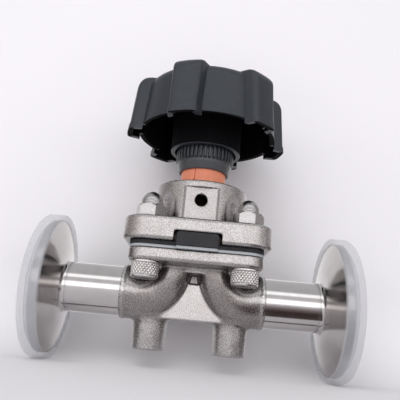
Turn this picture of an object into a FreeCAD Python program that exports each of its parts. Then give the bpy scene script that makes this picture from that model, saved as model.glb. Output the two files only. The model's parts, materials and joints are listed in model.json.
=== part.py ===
import FreeCAD, Part
import math
import os

# Hand-operated weir-type diaphragm valve with clamp ends, for a 3/4 inch sanitary tube line.
# Millimetres. X runs along the flow, Z up the stem, and the origin is where the two axes cross.

# Shared allowances: how far a cutter runs past a face, gaps of turning and sliding fits, and small edges
run_past = 1.0
running_gap = 0.05
sliding_gap = 0.1
soft_gap = 0.3
small_edge = 0.5
shortest_line = 1e-7

# Tube line and clamp ends
tube_od = 19.05
tube_wall = 1.65
ferrule_length = 28.6
rim_od = 50.5
rim_thickness = 2.85
cone_length = 3.9
neck_fillet = 1.5
groove_pitch_od = 43.5
groove_radius = 1.3

# Casting, from the pipe line up to the diaphragm's seat
body_half_length = 27.4
spigot_od = 20.4
weld_bead_height = 0.2
weld_bead_width = 2.2
seat_height = 14.6
body_flange_half = 24.45
body_flange_thickness = 4.5
bolt_half_spacing = 18.0
screw_clearance_radius = 3.3
bend_setback = 2.2
bend_centre_height = 11.1
duct_middle_gap = 1.1
duct_bulge_share = 0.5
mouth_half_x = 6.1
mouth_half_y = 13.0
mouth_squareness = 3.0
bowl_radius = 15.0
weir_depth = 3.4
weir_underside_depth = 6.6
web_half_thickness = 2.0
web_bottom_drop = 9.4
gusset_half_thickness = 6.0
gusset_top_half_width = 4.0
gusset_height = 14.0
foot_half_spacing = 15.4
foot_height = 21.0
foot_end_radius = 6.05
foot_root_radius = 6.6
foot_hole_radius = 2.1
foot_hole_depth = 8.0
drill_tip_height = 1.25
cast_edge = 1.2
cast_seat_edge = 0.6

# Diaphragm, clamped between the two flanges
facing_thickness = 1.0
backing_thickness = 1.6
diaphragm_setback = 0.05
boss_radius = 5.0
boss_height = 1.2
tab_half_width = 7.4
tab_height = 3.4
tab_setback = 0.2
facing_tab_reach = 1.8
tab_notch_side_gap = 1.0
tab_notch_top_gap = 0.2

# Bonnet
bonnet_flange_half = 27.1
bonnet_flange_thickness = 8.5
neck_radius = 18.4
neck_height = 16.8
neck_edge = 0.8
neck_flat_depth = 1.1
neck_flat_height = 14.0
scallop_radius = 8.3
scallop_height = 9.0
scallop_run_out = 4.0
scallop_run_in = 1.6
telltale_radius = 2.3
telltale_height = 9.1
notch_depth = 4.6
notch_corner = 0.8
dome_room_radius = 15.6
dome_room_depth = 4.3
compressor_side_gap = 0.5
guide_roof_depth = 4.9
sleeve_seat_depth = 2.5

# Screws and acorn nuts of the flanges
screw_radius = 3.0
screw_head_radius = 5.1
screw_head_height = 6.2
screw_socket_flats = 5.0
screw_socket_depth = 3.0
nut_flats = 10.0
nut_hex_height = 5.0
nut_dome_radius = 4.5
nut_dome_height = 5.3
screw_tip_above_flange = 6.0
nut_thread_run_out = 0.5
nut_thread_gap = 0.05

# Stem
stroke_open_now = 7.0
stroke_spare = 0.8
stop_gap = 0.15
collar_closed_gap = 0.4
spindle_radius = 5.0
groove_floor_radius = 3.2
pin_radius = 1.25
pin_height_in_spindle = 2.7
spindle_square = 6.9
spindle_tip_radius = 3.0
spindle_tip_length = 6.5
square_top_gap = 0.3
compressor_radius = 12.4
compressor_rim = 1.0
compressor_stem_radius = 9.0
compressor_stem_length = 9.8
key_half_width = 2.0
key_reach = 11.1
stud_radius = 2.5
stud_head_radius = 3.6
stud_head_height = 0.8
stud_head_cover = 0.75
bush_radius = 7.2
bush_flange_radius = 8.9
bush_flange_thickness = 2.0
bush_height_above_neck = 7.5
seal_section = 1.3
seal_groove_height = 1.8
seal_depth_below_bush_top = 3.0

# Indicator sleeve and stroke collar
sleeve_radius = 9.2
sleeve_hidden_length = 4.1
collar_gap = 0.3
collar_bottom_radius = 10.3
collar_top_radius = 11.2
collar_band_height = 4.0
collar_length = 14.0
tooth_count = 40
tooth_root_radius = 11.1
tooth_tip_radius = 12.0
tooth_tip_share = 0.42
tooth_root_share = 0.67

# Hand wheel
wheel_hub_overlap = 5.0
hub_radius = 14.5
hub_mouth_radius = 12.4
hub_mouth_depth = 2.0
hub_ledge_radius = 10.5
hub_ledge_depth = 2.0
hub_web_thickness = 10.0
well_radius = 11.6
bell_lift_above_hub = 7.0
bell_radius = 28.6
bell_draft = 0.075
wheel_wall = 1.8
wheel_depth = 21.5
shoulder_radius = 5.0
lobe_count = 6
first_lobe_turn = -108.5
lobe_stand_out = 4.5
lobe_drop = 2.0
lobe_tip_half_angle = 9.1
lobe_root_half_angle = 12.8
lobe_corner = 2.0
lobe_inner_corner = 0.4
lobe_start_gap = 1.0
lobe_lip_height = 2.4
lobe_lip_proud = 0.35
cover_radius = 13.0
cover_thickness = 1.2
cover_skirt_depth = 3.3
cover_skirt_wall = 1.2
washer_radius = 6.5
washer_thickness = 1.0
washer_gap = 0.2
wheel_nut_height = 5.0

# Protective caps
cap_fit_gap = 0.15
cap_skirt_wall = 2.0
cap_skirt_overlap = 3.7
cap_end_wall = 1.4
cap_seat_gap = 0.1
cap_seat_width = 2.0
cap_hollow = 2.0
cap_edge_bevel = 2.2

# Heights that follow from the sizes above
tube_radius = tube_od / 2
bore_radius = tube_radius - tube_wall
rim_radius = rim_od / 2
spigot_radius = spigot_od / 2
duct_wall = spigot_radius - bore_radius
face_x = body_half_length + ferrule_length
bend_centre_x = body_half_length - bend_setback
mouth_outer_radius = bend_centre_x - duct_middle_gap
diaphragm_half = body_flange_half - diaphragm_setback
flange_underside = seat_height - body_flange_thickness
weir_top = seat_height - weir_depth
diaphragm_dome = stroke_open_now - weir_depth
sleeve_exposed = stroke_open_now + collar_closed_gap
backing_bottom = seat_height + facing_thickness
bonnet_bottom = backing_bottom + backing_thickness
bonnet_top = bonnet_bottom + bonnet_flange_thickness
neck_top = bonnet_top + neck_height
screw_span = (bonnet_top + screw_tip_above_flange) - flange_underside
guide_roof = neck_top - guide_roof_depth
sleeve_seat = neck_top - sleeve_seat_depth
facing_crown = seat_height + diaphragm_dome + facing_thickness
backing_crown = facing_crown + backing_thickness
compressor_bottom = backing_crown + soft_gap
bowl_curve = (bowl_radius ** 2 + weir_depth ** 2) / (2 * weir_depth)
compressor_edge = compressor_bottom + compressor_radius ** 2 / (2 * bowl_curve)
compressor_top = compressor_edge + compressor_rim
compressor_room_top = compressor_top + stroke_spare + stop_gap
spindle_bottom = compressor_top + soft_gap
pin_height = spindle_bottom + pin_height_in_spindle
collar_bottom = neck_top + sleeve_exposed
collar_top = collar_bottom + collar_length
hub_bottom = collar_top - wheel_hub_overlap
web_bottom = collar_top + hub_ledge_depth
web_top = web_bottom + hub_web_thickness
bell_bottom = hub_bottom + bell_lift_above_hub
wheel_top = bell_bottom + wheel_depth
lobe_bottom = bell_bottom - lobe_drop
lobe_reach = bell_radius + lobe_stand_out


def at(x, y, z):
    return FreeCAD.Vector(x, y, z)


def closed_wire(corners, place):
    """One closed outline through corners (a, b) or (a, b, radius of the round corner)."""
    flat = [FreeCAD.Vector(c[0], c[1], 0) for c in corners]
    ends = []
    for i, corner in enumerate(corners):
        point = flat[i]
        if len(corner) < 3 or corner[2] == 0:
            ends.append((point, None, point))
            continue
        before = flat[i - 1] - point
        after = flat[(i + 1) % len(flat)] - point
        half_turn = before.getAngle(after) / 2
        before.normalize()
        after.normalize()
        middle = before + after
        middle.normalize()
        run = corner[2] / math.tan(half_turn)
        nearest = corner[2] / math.sin(half_turn) - corner[2]
        ends.append((point + before * run, point + middle * nearest, point + after * run))
    edges = []
    for i, (start, middle, end) in enumerate(ends):
        if middle is not None:
            edges.append(Part.Arc(place(start), place(middle), place(end)).toShape())
        following = ends[(i + 1) % len(ends)][0]
        if (following - end).Length > shortest_line:
            edges.append(Part.LineSegment(place(end), place(following)).toShape())
    return Part.Wire(edges)


def turned_up(corners):
    """Solid of revolution round the stem from corners (radius, height[, corner radius])."""
    wire = closed_wire(corners, lambda p: at(p.x, 0, p.y))
    return Part.Face(wire).revolve(at(0, 0, 0), at(0, 0, 1), 360)


def turned_along(corners, side):
    """Solid of revolution round the pipe line from corners (distance along, radius[, corner radius])."""
    wire = closed_wire(corners, lambda p: at(side * p.x, 0, p.y))
    return Part.Face(wire).revolve(at(0, 0, 0), at(1, 0, 0), 360)


def raised(corners, bottom, height):
    """Prism from plan corners (x, y[, corner radius])."""
    wire = closed_wire(corners, lambda p: at(p.x, p.y, bottom))
    return Part.Face(wire).extrude(at(0, 0, height))


def rounded_square(half, corner, bottom, height):
    corners = [(half, half, corner), (-half, half, corner), (-half, -half, corner), (half, -half, corner)]
    return raised(corners, bottom, height)


def pillar(radius, bottom, height, x=0.0, y=0.0):
    return Part.makeCylinder(radius, height, at(x, y, bottom), at(0, 0, 1))


def hexagon(flats, bottom, height, x=0.0, y=0.0):
    reach = flats / math.sqrt(3)
    turns = [math.radians(60 * k) for k in range(6)]
    return raised([(x + reach * math.cos(t), y + reach * math.sin(t)) for t in turns], bottom, height)


def centred_box(half_x, half_y, bottom, top):
    return Part.makeBox(2 * half_x, 2 * half_y, top - bottom, at(-half_x, -half_y, bottom))


def bolt_places():
    return [(x * bolt_half_spacing, y * bolt_half_spacing) for x in (-1, 1) for y in (-1, 1)]


def bolt_holes(bottom, height):
    return [pillar(screw_clearance_radius, bottom, height, x, y) for x, y in bolt_places()]


def level_edges(shape, height, tolerance=1e-4):
    """Edges that lie wholly at one height."""
    found = []
    for edge in shape.Edges:
        box = edge.BoundBox
        if abs(box.ZMin - height) < tolerance and abs(box.ZMax - height) < tolerance:
            found.append(edge)
    return found


def squared_circle(power):
    """Points of a unit circle that the power, under 1, pushes out towards a square."""
    points = []
    for k in range(16):
        turn = math.radians(22.5 * k)
        c = math.cos(turn)
        s = math.sin(turn)
        points.append(at(math.copysign(abs(c) ** power, c), math.copysign(abs(s) ** power, s), 0))
    return points


def eased(share):
    share = min(1.0, share)
    return share * share * (3 - 2 * share)


def duct_section(share, side, thinner):
    """Section of a duct, from the round pipe (share 0) to its flatter mouth under the seat (share 1)."""
    angle = math.radians(-90 + 90 * share)
    ease = eased(share)
    outer = bend_centre_height + spigot_radius
    outer += (mouth_outer_radius - outer) * eased(share / duct_bulge_share)
    half_radial = spigot_radius + (mouth_half_x - spigot_radius) * ease
    half_y = spigot_radius + (mouth_half_y - spigot_radius) * ease
    from_centre = outer - half_radial
    radial = at(-side * math.cos(angle), 0, math.sin(angle))
    centre = at(side * bend_centre_x, 0, bend_centre_height) + radial * from_centre
    across = radial * (half_radial - thinner)
    matrix = FreeCAD.Matrix()
    matrix.A11, matrix.A21, matrix.A31 = across.x, 0, across.z
    matrix.A12, matrix.A22, matrix.A32 = 0, half_y - thinner, 0
    matrix.A13, matrix.A23, matrix.A33 = -across.z, 0, across.x
    matrix.A14, matrix.A24, matrix.A34 = centre.x, centre.y, centre.z
    power = 2 / (2 + (mouth_squareness - 2) * ease)
    if power == 1:
        outline = Part.Circle(at(0, 0, 0), at(0, 0, 1), 1)
    else:
        outline = Part.BSplineCurve()
        outline.interpolate(Points=squared_circle(power), PeriodicFlag=True)
    unit = Part.Wire([outline.toShape()])
    return Part.Wire(unit.transformGeometry(matrix).Edges)


def duct(side, thinner):
    """Swept duct of one side: its outside when thinner is 0, its passage when thinner is the wall."""
    shares = [0, 0.25, 0.5, 0.75, 1]
    return Part.makeLoft([duct_section(s, side, thinner) for s in shares], True, False)


def passage(side):
    """Everything hollow on one side: the bore of the end, the bend, and the mouth up into the bowl."""
    mouth = Part.Face(duct_section(1, side, duct_wall)).extrude(at(0, 0, weir_depth + run_past))
    bore_start = at(side * bend_centre_x, 0, 0)
    bore = Part.makeCylinder(bore_radius, ferrule_length, bore_start, at(side, 0, 0))
    return duct(side, duct_wall).fuse([mouth, bore])


def foot(side):
    x = side * foot_half_spacing
    height = foot_height - tube_radius
    return Part.makeCone(foot_end_radius, foot_root_radius, height, at(x, 0, -foot_height), at(0, 0, 1))


def foot_hole(side):
    x = side * foot_half_spacing
    tip_start = at(x, 0, foot_hole_depth - foot_height)
    drill_tip = Part.makeCone(foot_hole_radius, 0, drill_tip_height, tip_start, at(0, 0, 1))
    return pillar(foot_hole_radius, -foot_height, foot_hole_depth, x).fuse(drill_tip)


def spigot(side):
    """Round end of the casting with its weld bead."""
    start = bend_centre_x
    bead = body_half_length - weld_bead_width / 2
    middle = (bead + body_half_length) / 2
    corners = [
        (start, 0),
        (start, spigot_radius),
        (bead, spigot_radius),
        (middle, spigot_radius + weld_bead_height, weld_bead_width / 2),
        (body_half_length, spigot_radius),
        (body_half_length, 0),
    ]
    return turned_along(corners, side)


def upright_plate(outline, half_thickness):
    """Plate that stands along the pipe line, from corners (x, z)."""
    wire = closed_wire(outline, lambda p: at(p.x, -half_thickness, p.y))
    return Part.Face(wire).extrude(at(0, 2 * half_thickness, 0))


def web():
    """Plate that ties the ducts and the feet together, thicker up to the narrow gap between the ducts."""
    weir_bottom = seat_height - weir_underside_depth
    low = -web_bottom_drop
    inner = [
        (-foot_half_spacing, low),
        (foot_half_spacing, low),
        (mouth_half_x, weir_bottom + run_past),
        (-mouth_half_x, weir_bottom + run_past),
    ]
    gusset = [
        (-foot_half_spacing, low),
        (foot_half_spacing, low),
        (gusset_top_half_width, low + gusset_height),
        (-gusset_top_half_width, low + gusset_height),
    ]
    return upright_plate(inner, web_half_thickness).fuse(upright_plate(gusset, gusset_half_thickness))


def weir_bar():
    """Bar under the weir that closes the gap between the two duct mouths."""
    half_x = mouth_half_x - run_past
    half_y = mouth_half_y - run_past
    return centred_box(half_x, half_y, seat_height - weir_underside_depth, weir_top)


def bowl():
    """Round hollow whose lowest point is the top of the weir."""
    return Part.makeSphere(bowl_curve, at(0, 0, weir_top + bowl_curve))


def valve_body():
    flange = rounded_square(
        body_flange_half, body_flange_half - bolt_half_spacing, flange_underside, body_flange_thickness
    )
    flange = flange.makeFillet(cast_edge, level_edges(flange, flange_underside))
    flange = flange.makeFillet(cast_seat_edge, level_edges(flange, seat_height))
    sides = (-1, 1)
    pieces = [web(), weir_bar()]
    for side in sides:
        pieces += [duct(side, 0), spigot(side), foot(side)]
    solid = flange.fuse(pieces)
    cuts = [bowl()] + bolt_holes(flange_underside - run_past, body_flange_thickness + 2 * run_past)
    for side in sides:
        cuts += [passage(side), foot_hole(side)]
    return solid.cut(cuts).removeSplitter()


def ferrule(side):
    """Turned clamp end: rim, cone and tube stub in one piece, with the gasket groove in its face."""
    rim_back = face_x - rim_thickness
    corners = [
        (body_half_length, bore_radius),
        (body_half_length, tube_radius),
        (rim_back - cone_length, tube_radius, neck_fillet),
        (rim_back, rim_radius),
        (face_x, rim_radius, small_edge),
        (face_x, bore_radius),
    ]
    solid = turned_along(corners, side)
    centre = at(side * face_x, 0, 0)
    groove = Part.makeTorus(groove_pitch_od / 2, groove_radius, centre, at(1, 0, 0))
    return solid.cut(groove)


def protective_cap(side):
    """Soft cap pushed over the rim: it seats on the rim's face, with a shallow hollow inside its end."""
    inside = rim_radius + cap_fit_gap
    outside = inside + cap_skirt_wall
    mouth = face_x - cap_skirt_overlap
    seat = face_x + cap_seat_gap
    hollow_end = face_x + cap_hollow
    end = hollow_end + cap_end_wall
    hollow_radius = inside - cap_seat_width
    corners = [
        (mouth, inside),
        (mouth, outside, small_edge),
        (end, outside, cap_edge_bevel),
        (end, 0),
        (hollow_end, 0),
        (hollow_end, hollow_radius, small_edge),
        (seat, hollow_radius),
        (seat, inside),
    ]
    return turned_along(corners, side)


def dome_shell(bottom, thickness):
    """Crowned middle of one diaphragm layer, between two arcs of equal rise."""
    edge = bowl_radius
    crown = bottom + diaphragm_dome
    ball = (edge ** 2 + diaphragm_dome ** 2) / (2 * diaphragm_dome)
    half_way = at(edge / 2, 0, crown - ball + math.sqrt(ball ** 2 - (edge / 2) ** 2))
    lift = at(0, 0, thickness)
    under = Part.Arc(at(0, 0, crown), half_way, at(edge, 0, bottom)).toShape()
    over = Part.Arc(at(edge, 0, bottom) + lift, half_way + lift, at(0, 0, crown) + lift).toShape()
    rim = Part.LineSegment(at(edge, 0, bottom), at(edge, 0, bottom + thickness)).toShape()
    axis = Part.LineSegment(at(0, 0, crown + thickness), at(0, 0, crown)).toShape()
    return Part.Face(Part.Wire([under, rim, over, axis])).revolve(at(0, 0, 0), at(0, 0, 1), 360)


def diaphragm_sheet(bottom, thickness, tab_reach, tab_top):
    """Flat clamped part of one layer with its bolt holes and its tab at the front."""
    corner = diaphragm_half - bolt_half_spacing
    sheet = rounded_square(diaphragm_half, corner, bottom, thickness)
    sheet = sheet.cut([pillar(bowl_radius, bottom, thickness)] + bolt_holes(bottom, thickness))
    tab_start = diaphragm_half - run_past
    tab = Part.makeBox(
        2 * tab_half_width, tab_reach - tab_start, thickness, at(-tab_half_width, -tab_reach, bottom)
    )
    if tab_top <= bottom + thickness:
        return sheet.fuse(tab)
    upright = Part.makeBox(
        2 * tab_half_width,
        tab_reach - diaphragm_half - tab_setback,
        tab_top - bottom,
        at(-tab_half_width, -tab_reach, bottom),
    )
    return sheet.fuse([tab, upright])


def diaphragm_facing():
    """Fluoropolymer layer on the product side, with the boss that holds the stud's head."""
    sheet = diaphragm_sheet(seat_height, facing_thickness, diaphragm_half + facing_tab_reach, 0)
    boss = pillar(boss_radius, facing_crown - facing_thickness, facing_thickness + boss_height)
    crown = dome_shell(seat_height, facing_thickness)
    head_bottom = facing_crown - facing_thickness + stud_head_cover
    pocket_height = stud_head_height + 2 * running_gap
    pocket = pillar(stud_head_radius + running_gap, head_bottom - running_gap, pocket_height)
    neck = pillar(stud_radius + running_gap, head_bottom, facing_thickness + boss_height)
    return sheet.fuse([crown, boss]).removeSplitter().cut([pocket, neck])


def diaphragm_backing():
    """Rubber layer above the facing, open round the boss, with the upright tab in the bonnet's notch."""
    reach = bonnet_flange_half - tab_setback
    sheet = diaphragm_sheet(backing_bottom, backing_thickness, reach, bonnet_bottom + tab_height)
    solid = sheet.fuse(dome_shell(backing_bottom, backing_thickness)).removeSplitter()
    hole = pillar(boss_radius + running_gap, backing_bottom, diaphragm_dome + backing_thickness + run_past)
    return solid.cut(hole)


def diaphragm_stud():
    head_bottom = facing_crown - facing_thickness + stud_head_cover
    shank_top = compressor_top - soft_gap
    head = pillar(stud_head_radius, head_bottom, stud_head_height)
    shank_bottom = head_bottom + stud_head_height
    return head.fuse(pillar(stud_radius, shank_bottom, shank_top - shank_bottom)).removeSplitter()


def compressor():
    """Block that presses the diaphragm on the weir: crowned disc, keyed stem, stud and spindle sockets."""
    ball = Part.makeSphere(bowl_curve, at(0, 0, compressor_bottom + bowl_curve))
    disc = pillar(compressor_radius, compressor_bottom, compressor_top - compressor_bottom).common(ball)
    stem_top = compressor_top + compressor_stem_length
    stem = pillar(compressor_stem_radius, compressor_edge, stem_top - compressor_edge)
    keys = centred_box(key_reach, key_half_width, compressor_edge, stem_top)
    solid = disc.fuse([stem, keys]).removeSplitter()
    stud_room_bottom = compressor_bottom - run_past
    cuts = [
        pillar(spindle_radius + running_gap, compressor_top, compressor_stem_length + run_past),
        pillar(stud_radius + running_gap, stud_room_bottom, compressor_top - stud_room_bottom),
    ]
    for y in (-1, 1):
        cuts.append(pin(y, pin_radius + running_gap / 2, key_reach + run_past))
    return solid.cut(cuts)


def pin(y_side, radius, half_length):
    y = y_side * (groove_floor_radius + running_gap + pin_radius)
    return Part.makeCylinder(radius, 2 * half_length, at(-half_length, y, pin_height), at(1, 0, 0))


def compressor_pins():
    y = groove_floor_radius + running_gap + 2 * pin_radius
    half_length = math.sqrt(compressor_stem_radius ** 2 - y ** 2)
    return Part.makeCompound([pin(side, pin_radius, half_length) for side in (-1, 1)])


def spindle():
    """Threaded stem: groove for the pins below, square for the wheel, and a threaded tip for its nut."""
    shaft = pillar(spindle_radius, spindle_bottom, web_bottom - spindle_bottom)
    shaft = shaft.makeChamfer(small_edge, level_edges(shaft, spindle_bottom))
    groove_half = pin_radius + running_gap
    groove = turned_up(
        [
            (groove_floor_radius, pin_height - groove_half),
            (spindle_radius + run_past, pin_height - groove_half),
            (spindle_radius + run_past, pin_height + groove_half),
            (groove_floor_radius, pin_height + groove_half),
        ]
    )
    square = centred_box(spindle_square / 2, spindle_square / 2, web_bottom, web_top - square_top_gap)
    tip = pillar(spindle_tip_radius, web_bottom, web_top - web_bottom + spindle_tip_length)
    return shaft.cut(groove).fuse([square, tip]).removeSplitter()


def spindle_bush():
    """Brass nut: its flange bears up under the bonnet's roof, its barrel stands in the indicator sleeve."""
    top = neck_top + bush_height_above_neck
    groove_bottom = top - seal_depth_below_bush_top
    inside = spindle_radius + running_gap
    corners = [
        (inside, guide_roof - bush_flange_thickness),
        (bush_flange_radius, guide_roof - bush_flange_thickness),
        (bush_flange_radius, guide_roof),
        (bush_radius, guide_roof),
        (bush_radius, top, small_edge),
        (inside, top),
        (inside, groove_bottom + seal_groove_height),
        (inside + seal_section, groove_bottom + seal_groove_height),
        (inside + seal_section, groove_bottom),
        (inside, groove_bottom),
    ]
    return turned_up(corners)


def spindle_seal():
    groove_middle = neck_top + bush_height_above_neck - seal_depth_below_bush_top + seal_groove_height / 2
    radius = spindle_radius + running_gap + seal_section / 2
    return Part.makeTorus(radius, seal_section / 2 - running_gap, at(0, 0, groove_middle), at(0, 0, 1))


def bonnet_inside():
    """Everything hollow in the bonnet, from the dome's room up to the seat of the indicator sleeve."""
    low = compressor_room_top - run_past
    room_radius = compressor_radius + compressor_side_gap
    return [
        pillar(dome_room_radius, bonnet_bottom - run_past, dome_room_depth + run_past),
        pillar(room_radius, bonnet_bottom, compressor_room_top - bonnet_bottom),
        pillar(compressor_stem_radius + sliding_gap, low, guide_roof - low),
        centred_box(key_reach + sliding_gap, key_half_width + sliding_gap, low, guide_roof),
        pillar(bush_radius + running_gap, guide_roof - run_past, guide_roof_depth + 2 * run_past),
        pillar(sleeve_radius + running_gap, sleeve_seat, sleeve_seat_depth + run_past),
    ]


def upper_corners(box, top):
    """The two edges at the top of a box that run along Y."""
    found = []
    for edge in level_edges(box, top):
        if edge.BoundBox.XLength < small_edge:
            found.append(edge)
    return found


def nut_scallops():
    """Room for a socket round each acorn nut, run out into the round of the neck at the top."""
    tools = []
    for x, y in bolt_places():
        lower = pillar(scallop_radius, bonnet_top, scallop_height, x, y)
        place = at(x, y, bonnet_top + scallop_height)
        upper = Part.makeCone(
            scallop_radius, scallop_radius - scallop_run_in, scallop_run_out, place, at(0, 0, 1)
        )
        tools.append(lower.fuse(upper))
    return tools


def bonnet():
    corner = bonnet_flange_half - bolt_half_spacing
    flange = rounded_square(bonnet_flange_half, corner, bonnet_bottom, bonnet_flange_thickness)
    outer_edges = level_edges(flange, bonnet_top) + level_edges(flange, bonnet_bottom)
    flange = flange.makeFillet(cast_edge, outer_edges)
    neck = pillar(neck_radius, bonnet_top - run_past, neck_height + run_past)
    neck = neck.makeFillet(neck_edge, level_edges(neck, neck_top))
    flat_face = neck_radius - neck_flat_depth
    cuts = bonnet_inside()
    for y_side in (-1, 1):
        middle = y_side * (flat_face + neck_flat_depth)
        low = at(-neck_radius / 2, middle - neck_flat_depth, bonnet_top)
        cuts.append(Part.makeBox(neck_radius, 2 * neck_flat_depth, neck_flat_height, low))
    hole_start = at(0, -neck_radius, bonnet_top + telltale_height)
    cuts.append(Part.makeCylinder(telltale_radius, neck_radius, hole_start, at(0, 1, 0)))
    neck = neck.cut(nut_scallops())
    notch_half = tab_half_width + tab_notch_side_gap
    notch_top = bonnet_bottom + tab_height + tab_notch_top_gap
    notch_low = at(-notch_half, -bonnet_flange_half - run_past, bonnet_bottom - run_past)
    notch_height = notch_top - notch_low.z
    notch = Part.makeBox(2 * notch_half, notch_depth + run_past, notch_height, notch_low)
    cuts.append(notch.makeFillet(notch_corner, upper_corners(notch, notch_top)))
    cuts += bolt_holes(bonnet_bottom - run_past, bonnet_flange_thickness + 2 * run_past)
    return flange.fuse(neck).cut(cuts).removeSplitter()


def cap_screw(x, y):
    """Socket head cap screw with its head below the body flange."""
    head_bottom = flange_underside - screw_head_height
    head = pillar(screw_head_radius, head_bottom, screw_head_height, x, y)
    head = head.makeChamfer(small_edge, level_edges(head, head_bottom))
    shank = pillar(screw_radius, flange_underside, screw_span, x, y)
    socket = hexagon(screw_socket_flats, head_bottom, screw_socket_depth, x, y)
    return head.fuse(shank).removeSplitter().cut(socket)


def cap_screws():
    return Part.makeCompound([cap_screw(x, y) for x, y in bolt_places()])


def acorn_nut(x, y):
    """Domed nut on the bonnet flange, bored blind for the screw's tip."""
    hex_part = hexagon(nut_flats, bonnet_top, nut_hex_height, x, y)
    reach = nut_flats / math.sqrt(3)
    bevel = turned_up(
        [
            (0, bonnet_top),
            (reach, bonnet_top),
            (reach, bonnet_top + nut_hex_height - small_edge),
            (nut_dome_radius, bonnet_top + nut_hex_height),
            (0, bonnet_top + nut_hex_height),
        ]
    ).translated(at(x, y, 0))
    dome_bottom = bonnet_top + nut_hex_height
    straight = nut_dome_height - nut_dome_radius
    dome = pillar(nut_dome_radius, bonnet_top, nut_hex_height + straight, x, y)
    ball = Part.makeSphere(nut_dome_radius, at(x, y, dome_bottom + straight))
    depth = screw_tip_above_flange + nut_thread_run_out
    thread = pillar(screw_radius + nut_thread_gap, bonnet_top, depth, x, y)
    return hex_part.common(bevel).fuse([dome, ball]).removeSplitter().cut(thread)


def acorn_nuts():
    return Part.makeCompound([acorn_nut(x, y) for x, y in bolt_places()])


def indicator_sleeve():
    height = sleeve_seat_depth + sleeve_exposed + sleeve_hidden_length
    inside = bush_radius + sliding_gap
    corners = [
        (inside, sleeve_seat),
        (sleeve_radius, sleeve_seat),
        (sleeve_radius, sleeve_seat + height, small_edge),
        (inside, sleeve_seat + height),
    ]
    return turned_up(corners)


def tooth_ring(bottom, top):
    """Ring of straight teeth, drawn once in plan and raised."""
    pitch = 2 * math.pi / tooth_count
    half_tip = pitch * tooth_tip_share / 2
    half_root = pitch * tooth_root_share / 2
    corners = []
    for k in range(tooth_count):
        middle = k * pitch
        for radius, turn in (
            (tooth_root_radius, -half_root),
            (tooth_tip_radius, -half_tip),
            (tooth_tip_radius, half_tip),
            (tooth_root_radius, half_root),
        ):
            corners.append((radius * math.cos(middle + turn), radius * math.sin(middle + turn)))
    return raised(corners, bottom, top - bottom)


def stroke_collar():
    """Collar that covers the sleeve: a flared band below, and teeth above that go up into the hub."""
    inside = sleeve_radius + collar_gap
    band_top = collar_bottom + collar_band_height
    bevel = tooth_tip_radius - tooth_root_radius
    envelope = turned_up(
        [
            (0, collar_bottom),
            (collar_bottom_radius, collar_bottom, small_edge),
            (collar_top_radius, band_top),
            (tooth_tip_radius, band_top + bevel),
            (tooth_tip_radius, collar_top),
            (0, collar_top),
        ]
    )
    band = pillar(collar_top_radius, collar_bottom, collar_band_height)
    teeth = tooth_ring(band_top, collar_top)
    bore = pillar(inside, collar_bottom - run_past, collar_length + 2 * run_past)
    return band.fuse(teeth).common(envelope).cut(bore)


def lobe_outline(tip, inset, height):
    """Plan of one lobe towards +X: slanting sides, and a tip on a circle round the stem."""
    root_angle = math.radians(lobe_root_half_angle)
    tip_angle = math.radians(lobe_tip_half_angle)
    root_x = bell_radius * math.cos(root_angle)
    root_y = bell_radius * math.sin(root_angle)
    slope = (lobe_reach * math.sin(tip_angle) - root_y) / (lobe_reach * math.cos(tip_angle) - root_x)
    reach = tip - inset
    tip_y = root_y - inset + slope * (reach * math.cos(tip_angle) - root_x)
    tip_x = math.sqrt(reach ** 2 - tip_y ** 2)
    start_x = hub_radius + lobe_start_gap
    start_y = root_y - inset + slope * (start_x - root_x)
    right = Part.LineSegment(at(start_x, -start_y, height), at(tip_x, -tip_y, height)).toShape()
    tip_arc = Part.Arc(at(tip_x, -tip_y, height), at(reach, 0, height), at(tip_x, tip_y, height)).toShape()
    left = Part.LineSegment(at(tip_x, tip_y, height), at(start_x, start_y, height)).toShape()
    back = Part.LineSegment(at(start_x, start_y, height), at(start_x, -start_y, height)).toShape()
    return Part.Wire([right, tip_arc, left, back])


def lobe_prism(inset, bottom, top):
    """One lobe with sharp edges, drawn in at the draft angle from its foot to its top."""
    wires = []
    for height in (bottom, top):
        tip = lobe_reach - bell_draft * (height - lobe_bottom)
        wires.append(lobe_outline(tip, inset, height))
    return Part.makeLoft(wires, True, True)


def tip_rounded(prism, radius):
    """A lobe with the edges that run up its tip and back over its top rounded."""
    edges = []
    for edge in prism.Edges:
        box = edge.BoundBox
        one_side = box.YMin > 0 or box.YMax < 0
        if one_side and box.XMax > hub_radius + 2 * lobe_start_gap and box.ZLength > small_edge:
            edges.append(edge)
    return prism.makeFillet(radius, edges)


def outer_lobe():
    """Outside of one lobe, with the shoulder at its top."""
    prism = lobe_prism(0, lobe_bottom, wheel_top)
    for edge in level_edges(prism, wheel_top):
        if edge.BoundBox.XMin > bell_radius:
            tip = edge
    return tip_rounded(prism.makeFillet(shoulder_radius, [tip]), lobe_corner)


def all_round(lobe):
    turns = [first_lobe_turn + k * 360 / lobe_count for k in range(lobe_count)]
    return [lobe.rotated(at(0, 0, 0), at(0, 0, 1), turn) for turn in turns]


def bell(inset, bottom, top, shoulder):
    reach_at_top = bell_radius - bell_draft * (wheel_top - bell_bottom) - inset
    reach_at_bottom = bell_radius - bell_draft * (bottom - bell_bottom) - inset
    return turned_up([(0, bottom), (reach_at_bottom, bottom), (reach_at_top, top, shoulder), (0, top)])


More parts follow.
